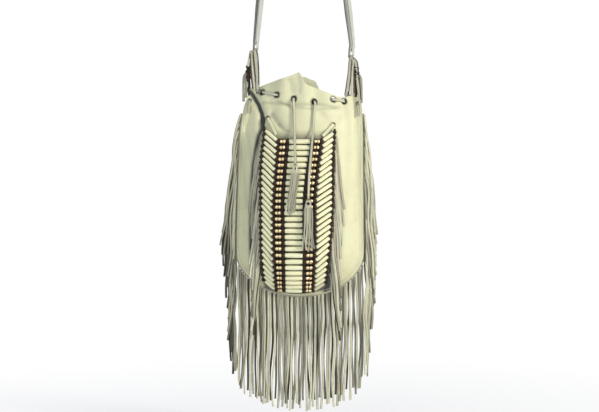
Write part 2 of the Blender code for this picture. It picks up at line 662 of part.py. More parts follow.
def strap(look):
    """The strap from the left lip over the top to the right lip, twisting to face the front."""
    down = np.array([axis_along()[2], 0, -axis_along()[0]])
    halves = []
    for lip, turn in ((LIP_LEFT, -1), (LIP_RIGHT, 1)):
        end = np.array([lip[0], 0, lip[1]])
        path = [end - along * down for along in (-1.45, -1.2, -0.6, 0.2, 7.0, 14.5, 22.0)]
        top = np.array([turn * ARCH_RADIUS, 0, ARCH_LOW])
        for k in range(1, 11):
            share = k / 10
            straight_on = path[6] + share * (top - path[6])
            bow = math.sin(math.pi * share) * turn * 3.0
            path.append(straight_on + np.array([bow, 0, 0]))
        arch_high = 1.5 - ARCH_LOW
        for k in range(1, 5):
            angle = k / 5 * math.pi / 2
            path.append(np.array([turn * ARCH_RADIUS * math.cos(angle), 0,
                                  ARCH_LOW + arch_high * math.sin(angle)]))
        halves.append(path)
    path = halves[0] + [np.array([0, 0, 1.5])] + halves[1][::-1]
    rings = []
    for index, (point, along) in enumerate(zip(path, tangents(path))):
        share = eased(-point[2], -TWIST_TOP, -TWIST_LOW)
        inward = unit(np.cross(along, (0, 1, 0)))
        turn = math.pi / 2 * share
        across = math.cos(turn) * np.array([0, 1.0, 0]) + math.sin(turn) * inward
        if point[0] > 0:
            across = math.cos(turn) * np.array([0, 1.0, 0]) - math.sin(turn) * inward
        deep = unit(np.cross(along, across))
        from_end = min(index, len(path) - 1 - index)
        thick = STRAP_THICK * (0.3, 0.62, 0.93)[from_end] if from_end < 3 else STRAP_THICK
        wide = STRAP_WIDE * (0.9 if from_end < 2 else 1.0)
        groove = 0.35 if from_end > 5 else 0.0
        ring = []
        for a, d in ((-0.5, 0.0), (-0.42, -0.5), (0.0, -0.5 + groove), (0.42, -0.5), (0.5, 0.0),
                     (0.42, 0.5), (-0.42, 0.5)):
            ring.append(point + a * wide * across + d * thick * deep)
        rings.append(ring)
    made = solid("strap", *tube(rings), look, smooth=True)
    cuts = []
    for lip in (LIP_LEFT, LIP_RIGHT):
        start = np.array([lip[0], 0, lip[1]]) - 0.25 * down
        cuts.append(band([start, start - SLIT_LONG * down], SLIT_WIDE, 12.0, tuple(axis_along())))
    slits = solid("strap.slits", *joined(cuts), None, tool=True)
    boolean(made, slits, "DIFFERENCE")
    return made


def knot(centre, wide, high, deep, sides=7):
    """A small round knot."""
    rings = []
    for share, size in ((-1, 0.35), (-0.6, 0.85), (0, 1.0), (0.6, 0.85), (1, 0.35)):
        turns = [2 * math.pi * k / sides for k in range(sides)]
        rings.append([(centre[0] + size * wide / 2 * math.cos(t), centre[1] + size * deep / 2 * math.sin(t),
                       centre[2] + share * high / 2) for t in turns])
    return tube(rings)


def tie(name, lip, ears, knot_at, turn, look):
    """A thong over the strap's lip with both legs through the bag's ear, a knot and two tails."""
    down = np.array([axis_along()[2], 0, -axis_along()[0]])
    lip = np.array([lip[0], 0, lip[1]])
    round_lip = LIP_RADIUS + 0.4 + THONG_THICK / 2
    front = np.array([0, -1.0, 0])
    (x_in, z_in), (x_out, z_out) = ears
    path = [over(x_in, z_in - 17, 3.6, 1), over(x_in, z_in - 8, 3.6, 1), over(x_in, z_in - 2.4, 3.2, 1)]
    crossing = over(x_in, z_in, 0, 1)[1], over(x_in, z_in, 0, -1)[1]
    path += [np.array([x_in, crossing[0], z_in - 0.2]), np.array([x_in, crossing[1], z_in + 0.2])]
    path += [over(x_in, z_in + 2.6, 3.7, -1), over(x_in, z_in + 8, 4.6, -1)]
    legs = []
    for share in (0.35, 0.7):
        start, end = path[-1], lip + round_lip * front + 7 * down
        legs.append(start + share * (end - start))
    path += legs + [lip + round_lip * front + 7 * down, lip + round_lip * front + 2 * down]
    for angle in (0, 45, 90, 135, 180):
        turn_by = math.radians(angle)
        path.append(lip + round_lip * (math.cos(turn_by) * front - math.sin(turn_by) * down))
    path += [lip - round_lip * front + 2 * down, lip - round_lip * front + 7 * down]
    knot_point = np.array([knot_at[0], KNOT_Y, knot_at[1]])
    path.append(knot_point + np.array([-0.4 * turn, 0.6, 6.0]))
    path.append(knot_point + np.array([0, 0.4, -5.0]))
    path += [np.array(p, float) for p in (
        (x_out, 6.4, z_out + 8), (x_out, 5.6, z_out + 2.6), (x_out, 2.6, z_out + 0.2), (x_out, 0, z_out),
        (x_out, -2.6, z_out - 0.2), (x_out, -5.6, z_out - 2.6), (x_out + turn, -6.6, z_out - 10),
        (x_out + 1.5 * turn, -6.6, z_out - 20))]
    thong = solid(name, *band(path, THONG_WIDE, THONG_THICK, (1, 0, 0)), look)
    lump = solid(name + ".knot", *knot(knot_point, KNOT_WIDE, KNOT_HIGH, KNOT_DEEP), None, tool=True)
    boolean(thong, lump, "UNION")
    tails = []
    for shift, long in TAILS:
        start = knot_point + np.array([turn * 1.4, -0.6 if shift < 4 else -0.2, 1.0])
        steps = [start, start + np.array([turn * shift * 0.55, -0.4, -4.0]),
                 start + np.array([turn * shift, -0.3, -12.0]),
                 start + np.array([turn * (shift + 0.6), 0.2, -long])]
        tails.append(solid(f"{name}.tail{shift:.0f}", *band(steps, THONG_WIDE - 0.4, THONG_THICK, (1, 0, 0)),
                           None, tool=True))
    for tail in tails:
        boolean(thong, tail, "UNION")
    return thong


def lace_run(side, start, end, outside, step=6.0):
    """Points of the lace between two holes, outside or inside the leather."""
    high = (LACE_BACK if side > 0 else LACE_FRONT) * (1 if outside else -1)
    start, end = np.array(start), np.array(end)
    toward = unit(end - start)
    long = np.linalg.norm(end - start)
    between = long - 2 * LACE_HOLE
    count = max(2, round(between / step))
    made = []
    for k in range(count + 1):
        x, z = start + toward * (LACE_HOLE + between * k / count)
        made.append(over(x, z, high, side))
    return made


def drawstring(look):
    """The lace through all the holes: out of the third hole, round the back, out of the fourth."""
    front, back = FRONT_HOLES, BACK_HOLES
    hole = [over(x, z, 0, -1) for x, z in front]
    behind = [over(x, z, 0, 1) for x, z in back]
    path = [over(*front[2], 1.0), hole[2]]
    path += lace_run(-1, front[2], front[1], False) + [hole[1]]
    path += lace_run(-1, front[1], front[0], True) + [hole[0]]
    for share in (0.3, 0.5, 0.7):
        path.append(hole[0] + share * (behind[0] - hole[0]))
    path.append(behind[0])
    for k in range(5):
        path += lace_run(1, back[k], back[k + 1], k % 2 == 0) + [behind[k + 1]]
    for share in (0.3, 0.5, 0.7):
        path.append(behind[5] + share * (hole[5] - behind[5]))
    path.append(hole[5])
    path += lace_run(-1, front[5], front[4], True) + [hole[4]]
    path += lace_run(-1, front[4], front[3], False) + [hole[3], over(*front[3], 1.0)]
    return solid("drawstring", *band(path, LACE_WIDE, LACE_THICK, (0, 0, 1)), look)


def hanging_end(name, route, look):
    path = evenly(route, END_STEP)
    curve = bpy.data.curves.new(name, "CURVE")
    curve.dimensions = "3D"
    line = curve.splines.new("POLY")
    line.points.add(len(path) - 1)
    for point, place in zip(line.points, path):
        point.co = (*mm(place), 1)
    curve.bevel_depth = 0.0005 * END_DIAMETER
    curve.bevel_resolution = 2
    curve.use_fill_caps = True
    curve.materials.append(look)
    made = bpy.data.objects.new(name, curve)
    bpy.context.scene.collection.objects.link(made)
    return made


def tassel(name, top, end, long, look):
    """A flat head cut into strands, with the hole that its lace ends behind."""
    x, z = top
    y = end[1] - lean(end[2]) - END_DIAMETER / 2 - TASSEL_GAP - TASSEL_THICK / 2
    half = TASSEL_THICK / 2
    stations, strands = [], {}
    for k in range(TASSEL_STRANDS + 1):
        share = k / TASSEL_STRANDS - 0.5
        inner_x = x + share * (TASSEL_WIDE - 3.5)
        outer_x = x + share * TASSEL_WIDE
        stations.append([(inner_x, y - half, z), (inner_x, y + half, z),
                         (outer_x, y + half, z - TASSEL_HEAD), (outer_x, y - half, z - TASSEL_HEAD)])
    lane = TASSEL_WIDE / TASSEL_STRANDS
    for k in range(TASSEL_STRANDS):
        place = x + (k + 0.5 - TASSEL_STRANDS / 2) * lane
        rings = []
        for down in (6.0, 24.0, 44.0, long + 3 * wobble(k, x)):
            spread = 1 + 0.16 * math.sin(math.pi * min(down / long, 1.0))
            sway = 1.4 * math.sin(down / 17.0 + x)
            rings.append(ring_of((x + (place - x) * spread + sway * down / long,
                                  y - (0.6 if k % 2 else 0.0), z - TASSEL_HEAD - down),
                                 (1, 0, 0), lane - 0.45, 1.5))
        strands[k] = rings
    made = solid(name, *comb(stations, strands), look)
    place = (x, z - TASSEL_HOLE_DOWN)
    hole = solid(name + ".hole", *cylinder(place, TASSEL_HOLE, y - 5, y + 5), None, tool=True)
    boolean(made, hole, "DIFFERENCE")
    return made


def plate_tie(name, hole, end, look):
    """A small lace from a hole in the leather to a top corner of the breastplate."""
    start, finish = np.array(hole), np.array(end)
    toward = unit(finish - start)
    path = [over(*hole, -1.6), over(*hole, 0.2)]
    for along in (2.6, 6.5):
        x, z = start + along * toward
        path.append(over(x, z, 2.3))
    path.append(over(*finish, 2.4))
    across = (toward[1], 0, -toward[0])
    return solid(name, *band(path, 3.0, 1.2, across), look)


def bottom_thong(look):
    """The dark thong under the last row of bones."""
    path = resampled([over(x, z, BOTTOM_THONG_HIGH) for x, z in BOTTOM_THONG], 9.0)
    strip = band(path, BOTTOM_THONG_WIDE, BOTTOM_THONG_THICK, (0, -0.6, 1))
    return solid("breastplate_bottom_thong", *strip, look)


def hang_bag():
    """The bag's pieces under an empty on the axis through both strap lips."""
    swing = bpy.data.objects.new("bag_swing_axis", None)
    swing.location = mm(((LIP_LEFT[0] + LIP_RIGHT[0]) / 2, 0, (LIP_LEFT[1] + LIP_RIGHT[1]) / 2))
    bpy.context.scene.collection.objects.link(swing)
    bpy.context.view_layer.update()
    for piece in bpy.data.objects:
        if piece is not swing and not piece.name.startswith("strap.") and piece.name != "strap":
            piece.parent = swing
            piece.matrix_parent_inverse = swing.matrix_world.inverted()


def main():
    for old in list(bpy.data.objects):
        bpy.data.objects.remove(old, do_unlink=True)
    leather = material("cream leather", (0.80, 0.77, 0.62), 0.62)
    leather_back = material("cream leather back", (0.78, 0.75, 0.60), 0.65)
    strap_leather = material("folded strap leather", (0.70, 0.67, 0.55), 0.66)
    suede = material("fringe suede", (0.60, 0.56, 0.43), 0.85)
    lace_leather = material("lace leather", (0.66, 0.62, 0.50), 0.75)
    dark_thong = material("dark thong", (0.035, 0.025, 0.02), 0.6)
    bone = material("polished bone", (0.86, 0.81, 0.58), 0.38)
    bead = material("dark beads", (0.022, 0.013, 0.010), 0.28)
    brass = material("brass beads", (0.80, 0.58, 0.25), 0.28, 0.9)

    front = panel("front_panel", -1, FRONT_COLUMNS, FRONT_RIM, PANEL_STEPS, leather)
    back = panel("back_panel", 1, BACK_COLUMNS, BACK_RIM, PANEL_STEPS[::2] + PANEL_STEPS[-1:], leather_back)
    ears = EARS_LEFT + EARS_RIGHT
    front_cuts = [cylinder(place, LACE_HOLE, CUT_FRONT, -CUT_CLEAR) for place in FRONT_HOLES]
    front_cuts += [cylinder(place, EAR_HOLE, CUT_FRONT, -CUT_CLEAR) for place in ears]
    front_cuts += [cylinder(place, PLATE_TIE_HOLE, CUT_FRONT, -CUT_CLEAR) for place in PLATE_TIES_FROM]
    boolean(front, solid("front.holes", *joined(front_cuts), None, tool=True), "DIFFERENCE")
    back_cuts = [cylinder(place, LACE_HOLE, CUT_CLEAR, CUT_BACK) for place in BACK_HOLES]
    back_cuts += [cylinder(place, EAR_HOLE, CUT_CLEAR, CUT_BACK) for place in ears]
    boolean(back, solid("back.holes", *joined(back_cuts), None, tool=True), "DIFFERENCE")

    side_fringe("fringe_left_side", False, suede)
    side_fringe("fringe_right_side", True, suede)
    bottom_fringe("fringe_bottom", suede)

    bones("bones_left", ("outer_left", "left"), (RISE_LEFT, 0.0), BONE_RADII["left"], bone)
    bones("bones_centre", ("inner_left", "inner_right"), (0.0, 0.0), BONE_RADII["centre"], bone)
    bones("bones_right", ("right", "outer_right"), (0.0, RISE_RIGHT), BONE_RADII["right"], bone)
    for column in COLUMN_X:
        rise = {"outer_left": RISE_LEFT, "outer_right": RISE_RIGHT}.get(column, 0.0)
        bead_string("beads_" + column, column, rise, bead)
    brass_rows("brass_left", ("left", "inner_left"), brass)
    brass_rows("brass_right", ("inner_right", "right"), brass)
    plate_fringe("breastplate_fringe_left", False, suede)
    plate_fringe("breastplate_fringe_right", True, suede)
    for side, start, end in zip(("left", "right"), PLATE_TIES_FROM, PLATE_TIES_TO):
        plate_tie("breastplate_tie_" + side, start, end, lace_leather)
    bottom_thong(dark_thong)

    strap(strap_leather)
    tie("strap_tie_left", LIP_LEFT, EARS_LEFT, KNOT_LEFT, -1, lace_leather)
    tie("strap_tie_right", LIP_RIGHT, EARS_RIGHT, KNOT_RIGHT, 1, lace_leather)
    drawstring(lace_leather)
    hanging_end("drawstring_end_left", LEFT_END, lace_leather)
    hanging_end("drawstring_end_right", RIGHT_END, lace_leather)
    tassel("tassel_left", TASSEL_LEFT, LEFT_END[-1], TASSEL_LEFT_LONG, suede)
    tassel("tassel_right", TASSEL_RIGHT, RIGHT_END[-1], TASSEL_RIGHT_LONG, suede)
    hang_bag()


main()
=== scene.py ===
"""Leather drawstring bag with a bone breastplate, seam fringe and strap, dressed over its CAD frame.

Shapes are worked out in millimetres and become metres when a piece is made.
"""

import math

import bpy
import numpy as np
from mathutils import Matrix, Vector, noise


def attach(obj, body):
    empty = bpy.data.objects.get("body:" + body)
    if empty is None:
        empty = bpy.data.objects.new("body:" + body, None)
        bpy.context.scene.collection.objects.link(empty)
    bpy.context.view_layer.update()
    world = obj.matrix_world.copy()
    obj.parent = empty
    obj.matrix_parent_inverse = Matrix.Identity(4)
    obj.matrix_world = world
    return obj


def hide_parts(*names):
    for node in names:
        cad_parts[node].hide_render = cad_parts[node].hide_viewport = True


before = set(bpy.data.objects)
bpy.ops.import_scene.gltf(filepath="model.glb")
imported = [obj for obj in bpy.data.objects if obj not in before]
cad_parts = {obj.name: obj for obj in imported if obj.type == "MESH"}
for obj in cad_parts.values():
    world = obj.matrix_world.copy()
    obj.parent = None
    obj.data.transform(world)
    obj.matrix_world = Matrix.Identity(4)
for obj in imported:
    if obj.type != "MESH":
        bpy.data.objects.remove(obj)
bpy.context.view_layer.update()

# The leather body, as in the CAD source
PANEL_THICK, SEAM_MID = 1.8, 1.9
EAR_Z, CORNER_Z, BOTTOM_Z = -508.5, -765.4, -838.2
CORNER_DEPTH = CORNER_Z - BOTTOM_Z
MIDDLE_X = ((-838, -0.8), (-688, -0.8), (-587, 1.0), (-533, 3.4), (-508, 4.5))
HALF_WIDTH = ((-838, 100.0), (-765, 100.0), (-688, 98.5), (-587, 95.5), (-548, 92.3), (-533, 88.7),
              (-517, 83.0), (-508, 78.5))
FRONT_SWELL = ((-838, 41.0), (-765, 43.5), (-700, 42.5), (-640, 37.5), (-580, 29.0), (-545, 23.0),
               (-533, 22.5), (-515, 25.0), (-493, 27.0))
BACK_SWELL = ((-838, 27.0), (-765, 29.0), (-640, 27.0), (-580, 22.0), (-533, 16.0), (-493, 18.0))
FLAT_EDGE = ((-838, 0.905), (-600, 0.91), (-545, 0.88), (-508, 0.84))
LEAN_PER_MM, LEAN_FROM = 0.09, -470.0
GATHER_DEEP, GATHER_WAVE, GATHER_FROM, GATHER_TO = 1.2, 34.0, -583.0, -530.0
FRONT_RIM = ((-75, -509), (-65.6, -513.2), (-50.7, -507.9), (-27, -500.4), (-6.2, -493.8), (-2.5, -493),
             (7.1, -509.4), (23.2, -516.1), (38.3, -522.8), (57.4, -528.7), (70, -525), (83, -508.5))
BACK_RIM = ((-75, -509), (-60, -516), (-30, -508), (-6, -498), (4, -494.5), (14, -498.5), (23.2, -502.7),
            (31, -520), (55, -531), (70, -526), (83, -508.5))
FOLDS = (
    (6.0, 6.5, ((-77, -522), (-65.6, -540.6), (-60.5, -554), (-59, -575), (-64, -600), (-68, -660))),
    (3.5, 8.0, ((-68, -660), (-69, -720), (-66, -790))),
    (1.8, 4.5, ((-58, -537), (-20, -541), (28, -541), (58, -545))),
    (2.6, 6.5, ((-44, -556), (-36, -569), (-27, -580))),
    (2.2, 7.0, ((30, -556), (44, -566), (58, -561))),
    (3.0, 9.0, ((66, -528), (72, -560), (73, -610), (70, -680))),
    (3.0, 8.0, ((60, -700), (56, -760), (44, -806))),
)
# Softer creases that only the finished leather has, with painted shade along them; the first also paints the
# plate fringe's cast shadow: depth, width, painted shade and line
CREASES = (
    (2.2, 3.6, 0.95, ((-58, -562), (-60, -577), (-66, -588), (-71, -610), (-75.5, -634), (-78.5, -688),
                      (-80, -740), (-78.5, -795))),
    (1.4, 3.2, 1.1, ((-78, -520), (-66, -539), (-60.5, -553), (-58, -566))),
    (1.2, 4.0, 0.5, ((44.5, -800), (42, -818), (38, -832))),
    (1.0, 4.0, 0.12, ((-97, -590), (-90, -640), (-84, -700))),
    (0.9, 3.5, 0.10, ((-90, -556), (-80, -600), (-76, -640))),
    (0.8, 2.6, 0.22, ((-36, -536), (-12, -545), (22, -549), (52, -546))),
    (1.0, 4.5, 0.10, ((84, -560), (88, -640), (86, -720))),
    (0.9, 5.0, 0.12, ((-18, -503), (-15, -512), (-14, -521))),
    (0.7, 4.0, 0.14, ((-3, -501), (-1, -512), (-2, -523))),
    (0.9, 3.5, 0.2, ((-34, -572), (-26, -580), (-14, -584))),
)
LACE_HOLE, EAR_HOLE, PLATE_TIE_HOLE = 4.2, 2.7, 2.3
FRONT_HOLES = ((-59.7, -521.2), (-37.2, -525.9), (-10.9, -532.1), (20.2, -536.7), (49.6, -532.7),
               (66.6, -535.0))
BACK_HOLES = ((-48.5, -526.0), (-24.0, -529.0), (4.5, -531.0), (35.0, -533.5), (56.5, -535.5),
              (74.5, -537.0))
EARS_LEFT, EARS_RIGHT = ((-66.5, -519.5), (-79.5, -533.5)), ((69.8, -522.2), (88.2, -538.0))
PLATE_TIES_FROM, PLATE_TIES_TO = ((-50.7, -561.1), (49.9, -571.3)), ((-36.5, -588.5), (32.5, -590.5))

# Strap and ties
LIP_LEFT, LIP_RIGHT = (-70.5, -455.4), (77.5, -466.2)
STRAP_WIDE, STRAP_THICK = 12.0, 3.0
ARCH_RADIUS, ARCH_LOW = 22.0, -34.0
TWIST_TOP, TWIST_LOW = -60.0, -300.0
SLIT_LONG, SLIT_WIDE, LIP_RADIUS = 14.0, 4.8, 1.5
THONG_WIDE, THONG_THICK = 3.6, 1.6
KNOT_LEFT, KNOT_RIGHT, KNOT_Y = (-81.4, -489.5), (86.0, -492.0), 2.0

# Breastplate
ROWS, ROW_TOP, ROW_BOTTOM, PLATE_HIGH = 27, -599.5, -824.0, 7.0
BONE_RADII = {"left": 2.8, "centre": 3.8, "right": 3.0}
BEAD_RADIUS, BEAD_WIDE, BRASS_RADIUS, ROUND_SIDES = 2.4, 3.2, 3.15, 14
RISE_LEFT, RISE_RIGHT, RISE_MORE = 19.4, 15.5, 0.2
COLUMN_X = {
    "outer_left": ((-820, -55.0), (-780, -58.0), (-700, -58.5), (-630, -58.0), (-565, -51.8)),
    "left": ((-830, -36.8), (-750, -39.2), (-688, -38.8), (-600, -32.8), (-565, -30.6)),
    "inner_left": ((-830, -25.2), (-750, -25.4), (-688, -25.7), (-600, -19.4), (-565, -17.4)),
    "inner_right": ((-830, 4.0), (-750, 5.0), (-688, 5.0), (-640, 10.0), (-600, 16.0), (-565, 17.0)),
    "right": ((-830, 18.0), (-750, 19.5), (-688, 19.6), (-640, 24.0), (-600, 29.6), (-565, 30.4)),
    "outer_right": ((-820, 36.5), (-757, 42.0), (-700, 45.8), (-626, 46.8), (-565, 50.6)),
}
BOTTOM_THONG = ((-53.0, -816.5), (-40.0, -826.8), (-20.0, -832.8), (-4.0, -833.6), (8.0, -832.8),
                (18.0, -828.6))

# Fringe: the headers in the seam, then the strands' places, lengths and sizes
HEADER_IN, HEADER_OUT, HEADER_THICK = 6.0, 2.6, 1.4
SIDE_TOP, SIDE_LOW, SIDE_LONG, SIDE_THICK, STRAND_WIDE = -553.0, -784.0, 184.0, 1.9, 3.5
BOTTOM_HEADER, BOTTOM_FROM, BOTTOM_ACROSS = (-98.0, 96.5), -97.0, 192.5
BOTTOM_LONG, BOTTOM_THICK = 170.0, 2.0
PLATE_HEADER_HIGHS, PLATE_HEADER_WIDE, PLATE_HEADER_THICK = (2.35, 1.8), 3.0, 1.2
PLATE_STRAND_LONG, PLATE_STRAND_WIDE, PLATE_STRAND_THICK, PLATE_DRIFTS = 112.0, 3.9, 1.8, (0.105, 0.12)
STITCH_APART, STITCH_IN, STITCH_WIDE, STITCH_THICK, SEAM_ENDS = 4.4, 3.4, 0.65, 0.5, 30.0

# Routes of the drawstring's two ends, as in the CAD source
LEFT_END = ((-11.2, -19.4, -532.4), (-11.5, -20.9, -534.6), (-11.1, -19.6, -542.8),
            (-10.7, -20.5, -551.3), (-10.6, -21.9, -559.6), (-10.4, -23.2, -568.0),
            (-10.1, -24.7, -576.5), (-9.9, -27.8, -584.4), (-9.7, -31.6, -591.9), (-9.5, -34.8, -599.4),
            (-9.3, -35.8, -607.9), (-9.1, -36.2, -616.4), (-8.9, -36.6, -624.9), (-8.8, -36.9, -633.4),
            (-8.8, -37.1, -641.9))
RIGHT_END = ((20.9, -17.3, -537.4), (21.7, -19.2, -539.8), (20.4, -19.9, -550.0), (19.6, -21.4, -560.8),
             (19.1, -23.0, -571.3), (18.4, -25.3, -581.4), (17.8, -30.3, -590.2), (17.0, -34.4, -599.1),
             (16.1, -35.1, -609.7), (15.2, -35.7, -620.3), (14.3, -36.2, -630.9), (13.4, -36.6, -641.5),
             (12.6, -36.8, -652.1), (12.0, -36.9, -662.8), (11.5, -36.9, -673.4), (11.1, -36.8, -684.1),
             (11.0, -36.5, -694.7))
END_DIAMETER = 4.2
TASSEL_LEFT, TASSEL_RIGHT = (-8.8, -636.5), (11.0, -689.3)
TASSEL_HEAD, TASSEL_HALF, TASSEL_THICK, TASSEL_GAP = 12.0, 5.5, 2.4, 0.35
END_WIDE, END_THICK, LACE_WIDE, LACE_THICK, PLATE_LACE_WIDE, PLATE_LACE_THICK = 3.9, 2.0, 4.0, 1.5, 6.2, 2.2

# Camera and floor, in metres; the lens in millimetres
CAMERA_PLACE, CAMERA_LENS = (-0.0023, -2.0, -0.697), 77.55
FLOOR_Z, FLOOR_HALF = -1.06, 6


# Curves and surfaces
def spline(points, at):
    """Values on a smooth curve through (place, value) points."""
    places = np.array([p[0] for p in points], float)
    values = np.array([p[1] for p in points], float)
    last = len(points) - 1
    index = np.arange(last + 1)
    low, high = np.maximum(index - 1, 0), np.minimum(index + 1, last)
    slopes = (values[high] - values[low]) / (places[high] - places[low])
    at = np.clip(np.asarray(at, float), places[0], places[-1])
    k = np.clip(np.searchsorted(places, at, side="right") - 1, 0, last - 1)
    span = places[k + 1] - places[k]
    t = (at - places[k]) / span
    start = (1 + 2 * t) * (1 - t) ** 2 * values[k] + t * (1 - t) ** 2 * span * slopes[k]
    return start + t * t * (3 - 2 * t) * values[k + 1] + t * t * (t - 1) * span * slopes[k + 1]


def eased(value, low, high):
    t = np.clip((np.asarray(value, float) - low) / (high - low), 0.0, 1.0)
    return t * t * (3 - 2 * t)


def unit(vector):
    vector = np.asarray(vector, float)
    return vector / np.maximum(np.linalg.norm(vector, axis=-1, keepdims=True), 1e-9)


def lengths(path):
    """How far along a path each of its points is."""
    return np.concatenate([[0], np.cumsum(np.linalg.norm(np.diff(path, axis=0), axis=1))])


def edge_x(z, turn):
    """The body's left edge for -1, its right edge for 1, and the places between them."""
    return spline(MIDDLE_X, z) + turn * spline(HALF_WIDTH, z)


def facing(angle, settle=1.0, turn=0):
    """The ways across a strand, turned by angles; it starts upright and then settles."""
    return np.column_stack([settle * np.cos(angle), settle * np.sin(angle), turn * (1 - settle) + 0 * angle])


def mirrored(half, long, radius):
    """The whole profile of a turned body from half of it, given as (distance, share of the radius)."""
    return [(at, share * radius) for at, share in half + [(long - at, share) for at, share in half[-2::-1]]]


def wobble(number, seed=0.0):
    """A fixed, irregular value from -1 to 1 for each number."""
    return math.sin(12.9898 * (number + 1) + 78.233 * (seed + 0.37)) * math.cos(3.17 * number + seed)


def from_line(x, z, line):
    best = np.full(np.shape(x), 1e9)
    for (ax, az), (bx, bz) in zip(line, line[1:]):
        dx, dz = bx - ax, bz - az
        t = np.clip(((x - ax) * dx + (z - az) * dz) / (dx * dx + dz * dz), 0.0, 1.0)
        best = np.minimum(best, np.hypot(x - ax - t * dx, z - az - t * dz))
    return best


def off_plate(x, z):
    """1 where the leather is free, 0 behind the breastplate."""
    beside = eased(np.abs(x + 5.0), 52.0, 66.0)
    return 1 - (1 - beside) * eased(-z, 566.0, 590.0)


def mid(side, x, z):
    """The middle of the leather at places; side is -1 for the front and 1 for the back."""
    x, z = np.broadcast_arrays(np.asarray(x, float), np.asarray(z, float))
    low = np.maximum(CORNER_Z - z, 0.0) / CORNER_DEPTH
    across = (x - spline(MIDDLE_X, z)) / spline(HALF_WIDTH, z)
    inward = np.minimum(np.hypot(across, low) / spline(FLAT_EDGE, z), 1.0)
    full = 1 - inward * inward
    swell = full * spline(FRONT_SWELL if side < 0 else BACK_SWELL, z)
    waves = np.cos(2 * math.pi * (x + 6 * side) / GATHER_WAVE) * eased(z, GATHER_FROM, GATHER_TO)
    swell = swell + GATHER_DEEP * (1.0 if side < 0 else 0.4) * waves * np.minimum(3 * full, 1.0)
    if side < 0:
        for deep, wide, line in FOLDS:
            near = from_line(x, z, line) / wide
            swell = swell - off_plate(x, z) * deep * np.exp(-near * near) * np.minimum(2.5 * full, 1.0)
    return np.stack([x, side * (SEAM_MID + np.maximum(swell, 0.0)), z], -1)


def outward(side, x, z, step=1.5):
    across = mid(side, x + step, z) - mid(side, x - step, z)
    up = mid(side, x, z + step) - mid(side, x, z - step)
    return unit(side * np.cross(up, across))


def over(x, z, high, side=-1):
    """Places so far outside the middle of the leather."""
    x, z, high = np.broadcast_arrays(*(np.asarray(v, float) for v in (x, z, high)))
    return mid(side, x, z) + high[..., None] * outward(side, x, z)


def leaned(points):
    points = np.array(points, float)
    z = np.clip(points[..., 2], BOTTOM_Z, LEAN_FROM)
    points[..., 1] += LEAN_PER_MM * (LEAN_FROM - z)
    return points


def smooth_path(path, step):
    """Points at even distances along a smooth curve through a path."""
    path = [np.asarray(p, float) for p in path]
    fine = [path[0]]
    for i in range(len(path) - 1):
        a, b = path[max(i - 1, 0)], path[i]
        c, d = path[i + 1], path[min(i + 2, len(path) - 1)]
        for k in range(1, 13):
            t = k / 12
            fine.append(0.5 * (2 * b + (c - a) * t + (2 * a - 5 * b + 4 * c - d) * t * t
                               + (3 * b - a - 3 * c + d) * t ** 3))
    fine = np.array(fine)
    along = lengths(fine)
    places = np.linspace(0, along[-1], max(2, round(along[-1] / step) + 1))
    return np.column_stack([np.interp(places, along, fine[:, k]) for k in range(3)])


# Meshes
ROUND_BAND = ((-0.5, 0.0), (-0.44, -0.4), (-0.3, -0.5), (0.3, -0.5), (0.44, -0.4), (0.5, 0.0), (0.44, 0.4),
              (0.3, 0.5), (-0.3, 0.5), (-0.44, 0.4))
FLAT_BAND = ((-0.5, 0.0), (-0.43, -0.5), (0.43, -0.5), (0.5, 0.0), (0.43, 0.5), (-0.43, 0.5))
STRAND = ((-0.5, 0.0), (-0.28, -0.5), (0.28, -0.5), (0.5, 0.0), (0.28, 0.5), (-0.28, 0.5))


class Pile:
    """Points, faces, tints and grain places gathered into one mesh."""

    def __init__(self):
        self.points, self.faces, self.tints, self.grains, self.count = [], [], [], [], 0

    def add(self, points, faces, tint=0.5, grain=None):
        points = np.asarray(points, float).reshape(-1, 3)
        grain = points if grain is None else np.asarray(grain, float).reshape(-1, 3)
        self.points.append(points)
        self.faces += [tuple(int(i) + self.count for i in face) for face in faces]
        self.tints.append(np.broadcast_to(np.asarray(tint, float), (len(points),)))
        self.grains.append(grain)
        self.count += len(points)

    def made(self, name, looks, sharp=35.0, lean=True, slots=None):
        points = np.concatenate(self.points)
        if lean:
            points = leaned(points)
        mesh = bpy.data.meshes.new(name)
        mesh.from_pydata((points * 0.001).tolist(), [], self.faces)
        tint = mesh.attributes.new("tint", "FLOAT", "POINT")
        tint.data.foreach_set("value", np.concatenate(self.tints).astype(np.float32))
        grain = mesh.attributes.new("grain", "FLOAT_VECTOR", "POINT")
        grain.data.foreach_set("vector", np.concatenate(self.grains).astype(np.float32).ravel())
        mesh.shade_smooth()
        mesh.set_sharp_from_angle(angle=math.radians(sharp))
        for look in looks if isinstance(looks, (list, tuple)) else [looks]:
            mesh.materials.append(look)
        if slots is not None:
            mesh.polygons.foreach_set("material_index", np.asarray(slots, np.int32))
        made = bpy.data.objects.new(name, mesh)
        bpy.context.scene.collection.objects.link(made)
        return made


def tube_faces(rings, sides):
    """Faces between rings of points, and one across each end."""
    faces = []
    for k in range(rings - 1):
        for i in range(sides):
            j = (i + 1) % sides
            faces.append((k * sides + i, k * sides + j, (k + 1) * sides + j, (k + 1) * sides + i))
    return faces + [tuple(range(sides))[::-1], tuple((rings - 1) * sides + i for i in range(sides))]


